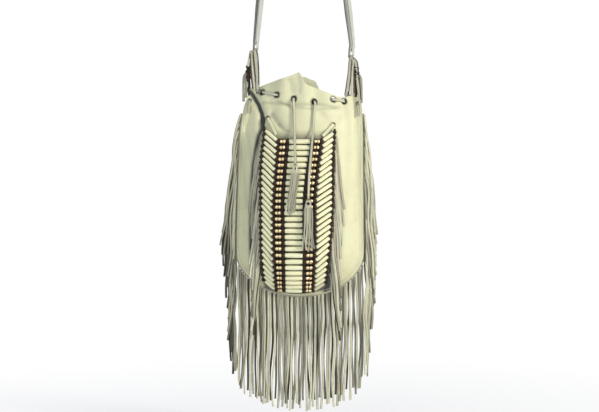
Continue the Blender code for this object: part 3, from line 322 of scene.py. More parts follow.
def sweep(pile, path, across, wide, thick, section=FLAT_BAND, tint=0.5, seed=0.0):
    """A band along a path, its width along the across vectors."""
    path = np.asarray(path, float)
    n = len(path)
    along = unit(np.gradient(path, axis=0))
    across = np.broadcast_to(np.asarray(across, float), (n, 3))
    across = unit(across - (across * along).sum(1, keepdims=True) * along)
    deep = unit(np.cross(along, across))
    wide = np.broadcast_to(np.asarray(wide, float), (n,))
    thick = np.broadcast_to(np.asarray(thick, float), (n,))
    section = np.array(section)
    a = section[None, :, 0] * wide[:, None]
    d = section[None, :, 1] * thick[:, None]
    points = path[:, None] + a[..., None] * across[:, None] + d[..., None] * deep[:, None]
    length = lengths(path)
    grain = np.stack([a + 37.0 * seed, d + 11.0 * seed, np.broadcast_to(length[:, None], a.shape)], -1)
    pile.add(points, tube_faces(n, len(section)), tint, grain)


def turned(pile, start, end, profile, sides, tint=0.5, seed=0.0, up=(0, 0, 1)):
    """A closed body of revolution from start to end; the profile holds (distance, radius)."""
    start, end = np.asarray(start, float), np.asarray(end, float)
    axis = unit(end - start)
    side = unit(np.cross(axis, up))
    other = np.cross(side, axis)
    turns = 2 * math.pi * np.arange(sides) / sides
    ring = np.cos(turns)[:, None] * side + np.sin(turns)[:, None] * other
    points, grain = [], []
    for at, radius in profile:
        points.append(start + at * axis + radius * ring)
        flat = np.column_stack([radius * np.cos(turns), radius * np.sin(turns), np.full(sides, float(at))])
        grain.append(flat + seed * np.array([13.0, 7.0, 41.0]))
    pile.add(np.concatenate(points), tube_faces(len(profile), sides), tint, np.concatenate(grain))


# Materials
class Nodes:
    """Short names for building a node material."""

    def __init__(self, name, colour, roughness, metallic=0.0, **more):
        self.made = bpy.data.materials.new(name)
        self.made.use_nodes = True
        self.tree = self.made.node_tree
        self.shader = self.tree.nodes["Principled BSDF"]
        self.shader.inputs["Base Color"].default_value = (*colour, 1)
        self.shader.inputs["Roughness"].default_value = roughness
        self.shader.inputs["Metallic"].default_value = metallic
        for key, value in more.items():
            self.shader.inputs[key.replace("_", " ")].default_value = value
        self.height = None

    def node(self, kind, **values):
        made = self.tree.nodes.new(kind)
        for key, value in values.items():
            setattr(made, key, value)
        return made

    def link(self, out, into):
        self.tree.links.new(out, into)

    def place(self, stretch=(1, 1, 1), grain=False):
        """Object places in metres, or the grain places in millimetres, stretched."""
        if grain:
            source = self.node("ShaderNodeAttribute", attribute_name="grain").outputs["Vector"]
        else:
            source = self.node("ShaderNodeTexCoord").outputs["Object"]
        mapping = self.node("ShaderNodeMapping")
        mapping.inputs["Scale"].default_value = stretch
        self.link(source, mapping.inputs["Vector"])
        return mapping.outputs["Vector"]

    def noise(self, place, scale, detail=3.0, rough=0.55, distort=0.0):
        made = self.node("ShaderNodeTexNoise")
        made.inputs["Scale"].default_value = scale
        made.inputs["Detail"].default_value = detail
        made.inputs["Roughness"].default_value = rough
        made.inputs["Distortion"].default_value = distort
        self.link(place, made.inputs["Vector"])
        return made.outputs["Fac"]

    def cells(self, place, scale):
        made = self.node("ShaderNodeTexVoronoi", feature="DISTANCE_TO_EDGE")
        made.inputs["Scale"].default_value = scale
        self.link(place, made.inputs["Vector"])
        return made.outputs["Distance"]

    def tint(self):
        return self.node("ShaderNodeAttribute", attribute_name="tint").outputs["Fac"]

    def span(self, value, low, high, to_low=0.0, to_high=1.0):
        made = self.node("ShaderNodeMapRange")
        for key, number in zip(("From Min", "From Max", "To Min", "To Max"), (low, high, to_low, to_high)):
            made.inputs[key].default_value = number
        self.link(value, made.inputs["Value"])
        return made.outputs["Result"]

    def maths(self, operation, a, b):
        made = self.node("ShaderNodeMath", operation=operation)
        for socket, value in zip(made.inputs, (a, b)):
            if isinstance(value, (int, float)):
                socket.default_value = value
            else:
                self.link(value, socket)
        return made.outputs["Value"]

    def mix(self, share, a, b):
        made = self.node("ShaderNodeMix", data_type="RGBA")
        self.link(share, made.inputs["Factor"])
        for socket, value in ((made.inputs[6], a), (made.inputs[7], b)):
            if isinstance(value, tuple):
                socket.default_value = (*value, 1)
            else:
                self.link(value, socket)
        return made.outputs[2]

    def colour(self, out):
        self.link(out, self.shader.inputs["Base Color"])

    def roughness(self, out):
        self.link(out, self.shader.inputs["Roughness"])

    def bump(self, out, strength, distance):
        """Adds a relief, distance in metres."""
        made = self.node("ShaderNodeBump")
        made.inputs["Strength"].default_value = strength
        made.inputs["Distance"].default_value = distance
        self.link(out, made.inputs["Height"])
        if self.height is not None:
            self.link(self.height, made.inputs["Normal"])
        self.height = made.outputs["Normal"]
        self.link(self.height, self.shader.inputs["Normal"])


def leather_look(name, colour, dark, shade):
    m = Nodes(name, colour, 0.55, Sheen_Weight=0.12, Sheen_Roughness=0.5, Specular_IOR_Level=0.35)
    place = m.place()
    cloud = m.noise(place, 22.0, 4.0, 0.6)
    base = m.mix(m.span(cloud, 0.3, 0.7), colour, dark)
    spots = m.noise(place, 260.0, 3.0)
    base = m.mix(m.span(spots, 0.5, 0.8, 0.0, 0.05), base, shade)
    # The tint attribute mixes in the shade colour: painted shade in fold lines and creases, beneath the
    # breastplate, round the holes, along lace and strap edges and grooves, and on the strap's shaded side.
    base = m.mix(m.tint(), base, shade)
    m.colour(base)
    m.roughness(m.span(m.noise(place, 90.0), 0.3, 0.7, 0.5, 0.68))
    m.bump(m.noise(place, 38.0, 3.0, 0.5, 0.6), 0.25, 0.0015)
    m.bump(m.cells(m.place((1, 1, 1.25)), 900.0), 0.25, 0.0003)
    m.bump(m.noise(place, 1500.0, 2.0), 0.15, 0.0002)
    return m.made


def suede_look(name, light, dark, shade):
    m = Nodes(name, light, 0.88, Sheen_Weight=0.3, Sheen_Roughness=0.4, Specular_IOR_Level=0.2)
    streak = m.noise(m.place((1.0, 1.0, 0.12), grain=True), 1.1, 3.0)
    base = m.mix(m.span(streak, 0.35, 0.7, 0.0, 0.6), light, dark)
    cloud = m.noise(m.place(), 30.0, 3.0)
    base = m.mix(m.span(cloud, 0.4, 0.7, 0.0, 0.45), base, dark)
    # The tint attribute mixes in the shade colour: painted shade along strand and lace edges, on the
    # fringes' back layers, round holes and inside the bag; a few pieces use a plain fixed tint.
    m.colour(m.mix(m.tint(), base, shade))
    m.roughness(m.span(streak, 0.3, 0.7, 0.82, 0.95))
    m.bump(m.noise(m.place((1, 1, 0.5), grain=True), 3.2, 4.0, 0.7), 0.5, 0.0003)
    return m.made


def bone_look():
    m = Nodes("polished_bone", (0.86, 0.81, 0.58), 0.34, Subsurface_Weight=0.12, Subsurface_Scale=0.002,
              Coat_Weight=0.15, Coat_Roughness=0.25)
    m.shader.inputs["Subsurface Radius"].default_value = (1.0, 0.7, 0.4)
    along = m.place((1.0, 1.0, 0.10), grain=True)
    streak = m.noise(along, 1.3, 5.0, 0.65)
    base = m.mix(m.tint(), (1.0, 0.975, 0.67), (0.95, 0.905, 0.57))
    base = m.mix(m.span(streak, 0.58, 0.78, 0.0, 0.3), base, (0.66, 0.54, 0.30))
    pits = m.noise(m.place((1.0, 1.0, 0.35), grain=True), 2.8, 3.0)
    base = m.mix(m.span(pits, 0.64, 0.8, 0.0, 0.5), base, (0.45, 0.34, 0.17))
    m.colour(base)
    m.roughness(m.span(streak, 0.3, 0.7, 0.3, 0.5))
    m.bump(streak, 0.25, 0.0003)
    m.bump(m.noise(m.place(grain=True), 3.5, 3.0), 0.12, 0.0002)
    return m.made


def bead_look():
    m = Nodes("dark_bead", (0.022, 0.013, 0.010), 0.35, Specular_IOR_Level=0.22)
    grain = m.place(grain=True)
    base = m.mix(m.span(m.noise(grain, 0.6, 3.0), 0.35, 0.75), (0.020, 0.012, 0.010), (0.075, 0.035, 0.020))
    m.colour(base)
    m.roughness(m.span(m.noise(grain, 1.5), 0.3, 0.7, 0.25, 0.5))
    m.bump(m.noise(grain, 1.4, 3.0), 0.2, 0.0003)
    return m.made


def brass_look():
    m = Nodes("brass", (0.80, 0.58, 0.25), 0.25, 1.0)
    grain = m.place(grain=True)
    worn = m.noise(grain, 0.55, 4.0, 0.6)
    base = m.mix(m.span(worn, 0.4, 0.68), (0.95, 0.84, 0.55), (0.60, 0.43, 0.19))
    base = m.mix(m.span(m.tint(), 0.2, 1.0, 0.0, 0.6), base, (0.48, 0.30, 0.12))
    m.colour(base)
    m.roughness(m.span(worn, 0.3, 0.7, 0.16, 0.42))
    m.bump(m.noise(grain, 2.4, 3.0), 0.2, 0.0002)
    return m.made


def dark_leather_look():
    m = Nodes("dark_thong", (0.035, 0.025, 0.02), 0.75, Specular_IOR_Level=0.15)
    grain = m.place((1, 1, 0.3), grain=True)
    cloud = m.span(m.noise(grain, 0.9, 4.0), 0.35, 0.7)
    m.colour(m.mix(cloud, (0.018, 0.013, 0.012), (0.070, 0.046, 0.034)))
    m.roughness(m.span(m.noise(grain, 2.0), 0.3, 0.7, 0.45, 0.75))
    m.bump(m.noise(grain, 2.6, 3.0), 0.4, 0.0003)
    return m.made


CREAM = leather_look("cream_leather", (0.83, 0.815, 0.54), (0.75, 0.725, 0.475), (0.03, 0.03, 0.042))
FLESH = suede_look("flesh_side", (0.90, 0.88, 0.64), (0.80, 0.77, 0.54), (0.03, 0.025, 0.025))
STRAP_LOOK = leather_look("strap_leather", (0.75, 0.75, 0.67), (0.63, 0.63, 0.55), (0.05, 0.05, 0.055))
SUEDE = suede_look("fringe_suede", (0.82, 0.80, 0.60), (0.50, 0.47, 0.35), (0.075, 0.065, 0.05))
LACE = suede_look("lace_leather", (0.70, 0.68, 0.52), (0.50, 0.47, 0.36), (0.08, 0.07, 0.055))
BONE, BEAD, BRASS, DARK = bone_look(), bead_look(), brass_look(), dark_leather_look()
THREAD = suede_look("seam_thread", (0.78, 0.75, 0.58), (0.62, 0.58, 0.44), (0.40, 0.36, 0.28))


# Camera and cords first
def camera():
    data = bpy.data.cameras.new("camera")
    data.lens = CAMERA_LENS
    made = bpy.data.objects.new("camera", data)
    made.location = CAMERA_PLACE
    made.rotation_euler = (math.pi / 2, 0, 0)
    bpy.context.scene.collection.objects.link(made)
    bpy.context.scene.camera = made


def put(piece, body, slot, *nodes):
    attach(piece, body)
    if nodes:
        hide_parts(*nodes)
    return piece


def shaded_lace_edges(count, share):
    """Painted shade along a lace's two edges, added to its own share."""
    edge = np.array((0.8, 0.5, 0, 0, 0.5, 0.8, 0.5, 0, 0, 0.5))
    return np.clip(share + np.tile(edge, count), 0, 1)


def shaded_strand_edges(share):
    """Painted shade along a strand's two edges, added to its own share."""
    return np.clip(np.add.outer(share, (0.7, 0.0, 0.0, 0.7, 0.0, 0.0)), 0, 1).ravel()


def tassel(top, end, long, strands, knot_seed, sway, flare):
    """Suede strands hanging from a tassel's head, round the lace's end."""
    pile = Pile()
    x, z = top
    lean = LEAN_PER_MM * (LEAN_FROM - end[2])
    y = end[1] - lean - END_DIAMETER / 2 - TASSEL_GAP - TASSEL_THICK / 2
    for k in range(strands):
        share = (k + 0.5) / strands - 0.5
        layer = k % 2
        down = np.linspace(0, 1, 22)
        spread = 1 + flare * down ** 0.7 + 0.12 * wobble(k, knot_seed)
        size = long + 5 * wobble(k, knot_seed + 1)
        px = x + 2 * TASSEL_HALF * share * spread + (1.8 * np.sin(down * 5 + k * 2.3) + sway) * down
        py = y - 1.0 * layer + 0.8 * np.sin(down * 4 + k) * down - 0.5 * abs(share)
        pz = z - TASSEL_HEAD + 1.5 - size * down
        turn = 0.5 * wobble(k, knot_seed + 2) + 1.5 * wobble(k, knot_seed + 3) * down ** 1.5
        across = facing(turn)
        path = np.column_stack([px, np.broadcast_to(py, px.shape), pz])
        sweep(pile, path, across, 2.7 + 0.3 * wobble(k, 9.0), 1.4, STRAND,
              shaded_strand_edges(0.1 + 0.3 * layer + 0.4 * wobble(k, 4.0) + 0 * down), k)
    return pile, y


def lace_end(name, route, node, hole, seed):
    pile = Pile()
    path = smooth_path(route, 2.2)
    turn = 0.35 * np.sin(np.linspace(0, 5.5, len(path)) + seed) + 0.15
    across = facing(turn)
    wide = END_WIDE + 0.25 * np.sin(np.linspace(0, 9, len(path)) + seed)
    # Painted shade over the end's last points, hidden in the tassel's head.
    knot_shade = eased(np.arange(len(path)), len(path) - 6.0, len(path) - 4.0).repeat(len(ROUND_BAND))
    tint = np.maximum(shaded_lace_edges(len(path), 0.0), knot_shade)
    sweep(pile, path, across, wide, END_THICK, ROUND_BAND, tint, seed)
    piece = put(pile.made(name, LACE, lean=False), "bag", "lace_leather", node)
    x, z = hole
    exit_point = leaned(over(x, z, 0.0)) * 0.001


def tassel_head(pile, x, y, z, round_hole):
    """The uncut top of a tassel, with its hole or slit."""
    columns, rows = 27, 29
    gx = np.linspace(-1, 1, columns)[None, :] * np.ones((rows, 1))
    gz = np.linspace(0, 1, rows)[:, None] * np.ones((1, columns))
    half = 3.6 + 1.9 * eased(gz, 0.0, 1.0)
    px = x + gx * half
    pz = z - TASSEL_HEAD * gz + 0.8 * (1 - np.abs(gx) ** 2.2) * (1 - gz)
    if round_hole:
        centre, wide, tall = (x, z - 4.2), 2.1, 2.1
    else:
        centre, wide, tall = (x, z - 4.6), 0.9, 3.2
    away = np.hypot((px - centre[0]) / wide, (pz - centre[1]) / tall)
    inside = away < 1
    near = grown(inside) & ~inside
    px[near] = centre[0] + (px[near] - centre[0]) / away[near]
    pz[near] = centre[1] + (pz[near] - centre[1]) / away[near]
    py = y + 0.9 * np.abs(gx) ** 2 - 0.35
    middle = np.stack([px, py, pz], -1)
    normal = unit(np.stack([0.28 * gx, -np.ones_like(gx), 0 * gx], -1))
    # Painted shade round the hole or slit and towards the head's sides.
    rim = np.exp(-((away - 1.0) / 0.25) ** 2) + 0.4 * np.abs(gx) ** 6
    shell(pile, middle, normal, inside, 1.9, np.clip(0.1 + rim, 0, 1))


def grown(mask):
    out = mask.copy()
    out[1:] |= mask[:-1]
    out[:-1] |= mask[1:]
    out[:, 1:] |= out[:, :-1].copy()
    out[:, :-1] |= out[:, 1:].copy()
    return out


def shell(pile, middle, normal, dead, thick, tint=0.5, inner_slot=False, inner_tint=None):
    """Two skins round a grid of places, without the dead ones, closed at every edge."""
    rows, columns = dead.shape
    thick = np.broadcast_to(np.asarray(thick, float), dead.shape)[..., None]
    index = np.arange(rows * columns).reshape(rows, columns)
    alive = ~(dead[:-1, :-1] | dead[1:, :-1] | dead[:-1, 1:] | dead[1:, 1:])
    a, b = index[:-1, :-1][alive], index[:-1, 1:][alive]
    c, d = index[1:, 1:][alive], index[1:, :-1][alive]
    quads = np.stack([a, b, c, d], 1)
    used = np.unique(quads)
    back = np.full(rows * columns, -1)
    back[used] = np.arange(len(used))
    quads = back[quads]
    outer = (middle + thick / 2 * normal).reshape(-1, 3)[used]
    inner = (middle - thick / 2 * normal).reshape(-1, 3)[used]
    n = len(used)
    edges = np.concatenate([quads[:, [0, 1]], quads[:, [1, 2]], quads[:, [2, 3]], quads[:, [3, 0]]])
    ordered = np.sort(edges, axis=1)
    _, first, uses = np.unique(ordered, axis=0, return_index=True, return_counts=True)
    rim = edges[first[uses == 1]]
    faces = [tuple(q) for q in quads] + [tuple(n + q[::-1]) for q in quads]
    faces += [(p, n + p, n + q, q) for p, q in rim]
    tints = [np.broadcast_to(np.asarray(value, float), dead.shape).reshape(-1)[used]
             for value in (tint, tint if inner_tint is None else inner_tint)]
    pile.add(np.concatenate([outer, inner]), faces, np.concatenate(tints))
    return [0] * len(quads) + [int(inner_slot)] * len(quads) + [0] * len(rim)


camera()
pile, head_y = tassel(TASSEL_LEFT, LEFT_END[-1], 60.0, 10, 2.0, -7.0, 0.1)
tassel_head(pile, TASSEL_LEFT[0], head_y, TASSEL_LEFT[1], False)
left_tassel = put(pile.made("cut_tassel_left", SUEDE), "bag", "suede", "tassel_left")
pile, head_y = tassel(TASSEL_RIGHT, RIGHT_END[-1], 62.0, 10, 5.0, 0.5, 0.55)
tassel_head(pile, TASSEL_RIGHT[0], head_y, TASSEL_RIGHT[1], True)
right_tassel = put(pile.made("cut_tassel_right", SUEDE), "bag", "suede", "tassel_right")
lace_end("lace_end_left", LEFT_END, "drawstring_end_left", FRONT_HOLES[2], 0.4)
lace_end("lace_end_right", RIGHT_END, "drawstring_end_right", FRONT_HOLES[3], 1.9)


# Leather body
def relief(side, x, z):
    """Small wrinkles over the leather, outwards."""
    flat = np.column_stack([x.ravel(), z.ravel()])
    return np.array([
        0.55 * noise.noise(Vector((px / 36.0, pz / 60.0, 3.1 * side)))
        + 0.16 * noise.noise(Vector((px / 13.0, pz / 17.0, 7.7 * side)))
        for px, pz in flat]).reshape(x.shape)


def panel(name, side, columns, rows, rim, holes, node):
    u = np.sin(np.linspace(-1, 1, columns) * math.pi / 2 * 0.9) / math.sin(math.pi / 2 * 0.9)
    step = np.linspace(0, 1, rows)[:, None]
    top = spline(rim, edge_x(EAR_Z, u))
    low = CORNER_Z - CORNER_DEPTH * np.sqrt(np.maximum(1 - u * u, 0.0))
    z = top + (low - top) * step
    x = edge_x(z, u)
    dead = np.zeros(x.shape, bool)
    for (cx, cz), radius in holes:
        away = np.hypot(x - cx, z - cz)
        inside = away < radius
        near = grown(inside) & ~inside
        x[near] = cx + (x[near] - cx) * radius / away[near]
        z[near] = cz + (z[near] - cz) * radius / away[near]
        dead |= inside
    middle, out = mid(side, x, z), outward(side, x, z, 1.0)
    full = eased(1 - np.abs(u), 0.0, 0.06) * np.ones_like(x)
    free = 0.25 + 0.75 * off_plate(x, z) if side < 0 else 1.0
    middle = middle + (full * free * relief(side, x, z))[..., None] * out
    # Painted shade on the outer skin: in fold lines and creases, the cast shadow beside the plate fringe,
    # beneath the breastplate, round the holes and along the seam edge.
    painted_shade = np.zeros(x.shape)
    if side < 0:
        # Painted shade along the fold lines.
        for deep, wide, line in FOLDS:
            near = from_line(x, z, line) / (0.55 * wide)
            painted_shade += (0.15 if wide < 7 else 0.02) * deep * np.exp(-near * near) * off_plate(x, z)
        # Painted shade beneath the breastplate, where the plate shades the leather.
        painted_shade_share = eased(57.0 - np.abs(x + 5.0), 0.0, 7.0) * eased(-z, 578.0, 600.0) * eased(z, -836.0, -828.0)
        painted_shade += 0.84 * painted_shade_share
        # Softer creases pressed in, with painted shade along them.
        for deep, wide, dark, line in CREASES:
            near = from_line(x, z, line) / wide
            middle -= (full * deep * np.exp(-near * near))[..., None] * out
            painted_shade += dark * np.exp(-(1.5 * near) ** 2)
    # Painted shade round every hole, so the holes read dark.
    for (cx, cz), radius in holes:
        painted_shade += 0.9 * np.exp(-((np.hypot(x - cx, z - cz) - radius) / 0.9) ** 2)
    # Painted shade along the seam edge, where the two panels meet.
    painted_shade += 0.25 * (1 - eased(1 - np.abs(u), 0.0, 0.03)) * np.ones_like(x)
    pile = Pile()
    # Painted shade on the inner skin below the rim, inside the bag.
    inner = eased(spline(FRONT_RIM, x) - z, 2.5, 9.0)
    slots = shell(pile, middle, out, dead, PANEL_THICK, np.clip(painted_shade, 0, 0.97), True, inner)
    return put(pile.made(name, [CREAM, FLESH], slots=slots), "bag", "bag_leather", node)


holes = [(place, LACE_HOLE) for place in FRONT_HOLES]
holes += [(place, EAR_HOLE) for place in EARS_LEFT + EARS_RIGHT]
holes += [(place, PLATE_TIE_HOLE) for place in PLATE_TIES_FROM]
front = panel("leather_front", -1, 170, 230, FRONT_RIM, holes, "front_panel")
holes = [(place, LACE_HOLE) for place in BACK_HOLES]
holes += [(place, EAR_HOLE) for place in EARS_LEFT + EARS_RIGHT]
back = panel("leather_back", 1, 150, 200, BACK_RIM, holes, "back_panel")


# Seam and fringe
def seam_line():
    """Places along the seam, from the left ear round the bottom to the right ear."""
    line = [(float(edge_x(z, -1)), z) for z in np.linspace(EAR_Z, CORNER_Z, 60)]
    for turn in np.linspace(math.pi, 2 * math.pi, 120)[1:-1]:
        line.append((float(edge_x(CORNER_Z, math.cos(turn))), CORNER_Z + CORNER_DEPTH * math.sin(turn)))
    line += [(float(edge_x(z, 1)), z) for z in np.linspace(CORNER_Z, EAR_Z, 60)]
    return np.array(line)


SEAM = seam_line()
SEAM_LONG = lengths(SEAM)


def seam_at(along):
    place, ahead, behind = (np.array([np.interp(along + d, SEAM_LONG, SEAM[:, k]) for k in (0, 1)])
                            for d in (0, 2, -2))
    tangent = unit(ahead - behind)
    return place, np.array([tangent[1], -tangent[0]])


def side_length(z, right):
    half = int(np.argmin(SEAM[:, 1]))
    if right:
        return float(np.interp(z, SEAM[half:, 1], SEAM_LONG[half:]))
    return float(np.interp(-z, -SEAM[: half + 1, 1], SEAM_LONG[: half + 1]))


def bottom_length(x):
    keep = SEAM[:, 1] < CORNER_Z
    return float(np.interp(x, SEAM[keep, 0], SEAM_LONG[keep]))


def header(pile, low, high, tint=0.35):
    """The uncut edge of a fringe strip inside the seam."""
    spots = np.linspace(low, high, max(8, int((high - low) / 5)))
    pairs = [seam_at(s) for s in spots]
    middle = (HEADER_OUT - HEADER_IN) / 2
    path = np.array([[p[0] + middle * o[0], 0, p[1] + middle * o[1]] for p, o in pairs])
    across = np.array([[o[0], 0, o[1]] for p, o in pairs])
    sweep(pile, path, across, HEADER_IN + HEADER_OUT, HEADER_THICK, FLAT_BAND, tint)


def side_fringe(name, right, node, count=46):
    pile = Pile()
    turn = 1 if right else -1
    low, high = sorted((side_length(SIDE_TOP, right), side_length(SIDE_LOW, right)))
    header(pile, low, high)
    for k in range(count):
        at = low + (high - low) * (k + 0.5) / count
        place, out = seam_at(at)
        root = np.array([place[0] + HEADER_OUT * out[0], 0, place[1] + HEADER_OUT * out[1]])
        long = SIDE_LONG + 12 * wobble(k, 2.0 + right)
        down = np.concatenate([[0, 1.5, 3.5, 6.0], np.linspace(10, long, 24)])
        z = root[2] - np.maximum(down - 2.5, 0.25 * down)
        edge = edge_x(np.maximum(z, CORNER_Z), turn)
        lane = wobble(k, 6.0 + right)
        low_root = np.clip((SIDE_TOP - place[1]) / (SIDE_TOP - SIDE_LOW), 0.0, 1.0)
        drift = 0.088 - 0.085 * low_root ** 1.3 + 0.022 * lane
        away = HEADER_OUT + (0.9 + 1.6 * wobble(k, 3.0)) * (1 - np.exp(-down / 6.0))
        away = away + drift * np.maximum(down - 3, 0)
        sway = (1.5 * np.sin(z / 27.0 + 2.0 * lane + right) + 1.3 * np.sin(z / 15.0 + 5 * wobble(k, 8.0)))
        x = edge + turn * away + sway * np.minimum(down / 50.0, 1.0)
        layer = (k * 2 % 5) - 2
        y = (layer * 2.3 * np.minimum(down / 12.0, 1.0)
             + 1.1 * np.sin(z / 23.0 + 3 * wobble(k, 1.0)) * np.minimum(down / 40, 1))
        settle = np.minimum(down / 9.0, 1.0)
        flat = 0.5 * wobble(k, 11.0) + 1.6 * wobble(k, 12.0) * np.minimum(down / long, 1.0) ** 1.3
        across = facing(flat, settle, turn)
        wide = STRAND_WIDE + 0.5 * wobble(k, 13.0)
        # Painted shade: the left fringe darker than the right and back layers darker than front ones; a
        # random tone and darker towards the tips as well.
        dark = (0.56 - 0.38 * right) + 0.16 * layer + 0.7 * wobble(k, 14.0 + right) + 0.2 * down / long
        sweep(pile, np.column_stack([x, y, z]), across, wide, SIDE_THICK, STRAND, shaded_strand_edges(dark), k)
    return put(pile.made(name, SUEDE), "bag", "suede", node)


def bottom_fringe(name, node, count=64):
    pile = Pile()
    header(pile, *(bottom_length(x) for x in BOTTOM_HEADER))
    for k in range(count):
        x0 = BOTTOM_FROM + BOTTOM_ACROSS * (k + 0.5) / count
        place, out = seam_at(bottom_length(x0))
        root = place + HEADER_OUT * out
        long = BOTTOM_LONG + 10 * wobble(k, 5.0) + 14 * abs(x0 / 93.0) ** 2
        down = np.concatenate([[0, 2.0, 5.0], np.linspace(9, long, 24)])
        z = root[1] - down
        group = math.sin(x0 / 6.1) * 2.6
        sway = (1.3 * np.sin(z / 30.0 + 1.5 * wobble(k, 1.5)) + group * down / long
                + 1.5 * np.sin(z / 19.0 + 4 * wobble(k, 2.5)) * down / long)
        x = root[0] + sway * np.minimum(down / 40, 1)
        layer = (k % 3) - 1
        bend = 1.3 * np.sin(z / 40.0) + 0.8 * np.sin(z / 21.0 + 6 * wobble(k, 3.5))
        y = layer * 1.7 * np.minimum(down / 20.0, 1) + bend * np.minimum(down / 60, 1)
        flat = 0.35 * wobble(k, 21.0) + 1.5 * wobble(k, 22.0) * (down / long) ** 1.4
        across = facing(flat)
        wide = STRAND_WIDE + 0.6 * wobble(k, 23.0)
        # Painted shade on back layers, and a painted shadow of the plate fringes on the strands' upper parts
        # beside them; a random tone as well.
        shadow = math.exp(-((x0 + 72) / 5) ** 2) + math.exp(-((x0 - 43) / 4) ** 2)
        dark = 0.36 + 0.34 * layer + 0.7 * wobble(k, 24.0) + 0.9 * shadow * (1 - down / long) ** 2
        path = np.column_stack([x, y, z])
        sweep(pile, path, across, wide, BOTTOM_THICK, STRAND, shaded_strand_edges(dark), k + 100)
    return put(pile.made(name, SUEDE), "bag", "suede", node)


fringes = [side_fringe("fringe_side_left", False, "fringe_left_side"),
           side_fringe("fringe_side_right", True, "fringe_right_side"),
           bottom_fringe("fringe_lower", "fringe_bottom")]


def stitches(name):
    """Thread along the seam, on both faces."""
    pile = Pile()
    total = SEAM_LONG[-1]
    for side in (-1, 1):
        for k in range(int((total - 2 * SEAM_ENDS) / STITCH_APART)):
            spots = SEAM_ENDS + STITCH_APART * k + np.array([0.0, 0.25, 1.5, 2.75, 3.0])
            pairs = [seam_at(s) for s in spots]
            flat = np.array([p - STITCH_IN * o for p, o in pairs])
            high = PANEL_THICK / 2 + np.array([-0.15, 0.18, 0.3, 0.18, -0.15])
            path = over(flat[:, 0], flat[:, 1], high, side)
            across = np.array([[o[0], 0, o[1]] for p, o in pairs])
            sweep(pile, path, across, STITCH_WIDE, STITCH_THICK, FLAT_BAND, 0.3, k)
    return put(pile.made(name, THREAD), "bag", "bag_leather")


seam = stitches("seam_stitches")


# Breastplate pieces
def plate_heights():
    heights = np.linspace(-560.0, -833.0, 400)
    along = lengths(mid(-1, np.full(len(heights), -9.0), heights))
    return along - np.interp(-ROW_TOP, -heights, along), heights


ALONG, HEIGHTS = plate_heights()
PLATE_LONG = float(np.interp(-ROW_BOTTOM, -HEIGHTS, ALONG))
ROW_APART = PLATE_LONG / (ROWS - 1)


def plate_z(along):
    return np.interp(along, ALONG, HEIGHTS)


def plate_point(column, along, high=PLATE_HIGH, shift=0.0):
    z = plate_z(along)
    return over(spline(COLUMN_X[column], z) + shift, z, high)


def end_of_row(column, along):
    """Where a row reaches a string, along the plate; the side rows rise outwards."""
    rise = {"outer_left": RISE_LEFT, "outer_right": RISE_RIGHT}.get(column, 0.0)
    return along - rise * (1 + RISE_MORE * eased(along, 0.0, 60.0))


def bones(name, node, columns, radius, seed):
    pile = Pile()
    for row in range(ROWS):
        along = row * ROW_APART
        a, b = (plate_point(column, end_of_row(column, along) + 0.35 * wobble(row, seed + i))
                for i, column in enumerate(columns))
        toward = unit(b - a)
        higher, lower = (plate_point(columns[0], end_of_row(columns[0], along) + step) for step in (-2, 2))
        slope = max(float(np.linalg.norm(np.cross(toward, unit(higher - lower)))), 0.5)
        clear = (BEAD_RADIUS + 0.25) / slope
        a = a + (clear + 0.3 * wobble(row, seed + 5)) * toward
        b = b - (clear + 0.3 * wobble(row, seed + 6)) * toward
        long = float(np.linalg.norm(b - a))
        half = [(2.4, 0.30), (0.3, 0.34), (0.0, 0.46), (0.02, 0.70), (0.22, 0.80), (0.9, 0.87), (3.0, 0.93),
                (6.0, 0.98), (long / 2, 1.0)]
        profile = mirrored(half, long, radius * (1 + 0.035 * wobble(row, seed + 2)))
        tint = np.clip(0.4 + 0.4 * wobble(row, seed + 3), 0, 1)
        turned(pile, a, b, profile, ROUND_SIDES, tint, row + seed)
    put(pile.made(name, BONE, sharp=50), "bag", "bone", node)


bones("bone_tubes_left", "bones_left", ("outer_left", "left"), BONE_RADII["left"], 1.0)
bones("bone_tubes_centre", "bones_centre", ("inner_left", "inner_right"), BONE_RADII["centre"], 2.0)
bones("bone_tubes_right", "bones_right", ("right", "outer_right"), BONE_RADII["right"], 3.0)


def bead_column(column, seed):
    pile = Pile()
    for row in range(ROWS):
        along = end_of_row(column, row * ROW_APART)
        centre = plate_point(column, along)
        ahead = unit(plate_point(column, along - 1.5) - plate_point(column, along + 1.5))
        out = outward(-1, centre[0], plate_z(along))
        across = unit(np.cross(ahead, out))
        size = BEAD_WIDE * (1 + 0.06 * wobble(row, 31.0 + seed))
        turns = np.linspace(-math.pi / 2, math.pi / 2, 9)
        half = 2.6 + 0.3 * wobble(row, 17.0 + seed)
        profile = [(half * (1 + math.sin(t)), max(size * max(math.cos(t), 0.0) ** 0.7, 0.5)) for t in turns]
        start, end = centre - half * across, centre + half * across
        turned(pile, start, end, profile, ROUND_SIDES, 0.5, row, up=ahead)
    put(pile.made("dark_beads_" + column, BEAD, sharp=60), "bag", "dark_beads", "beads_" + column)


for number, column in enumerate(COLUMN_X):
    bead_column(column, number)


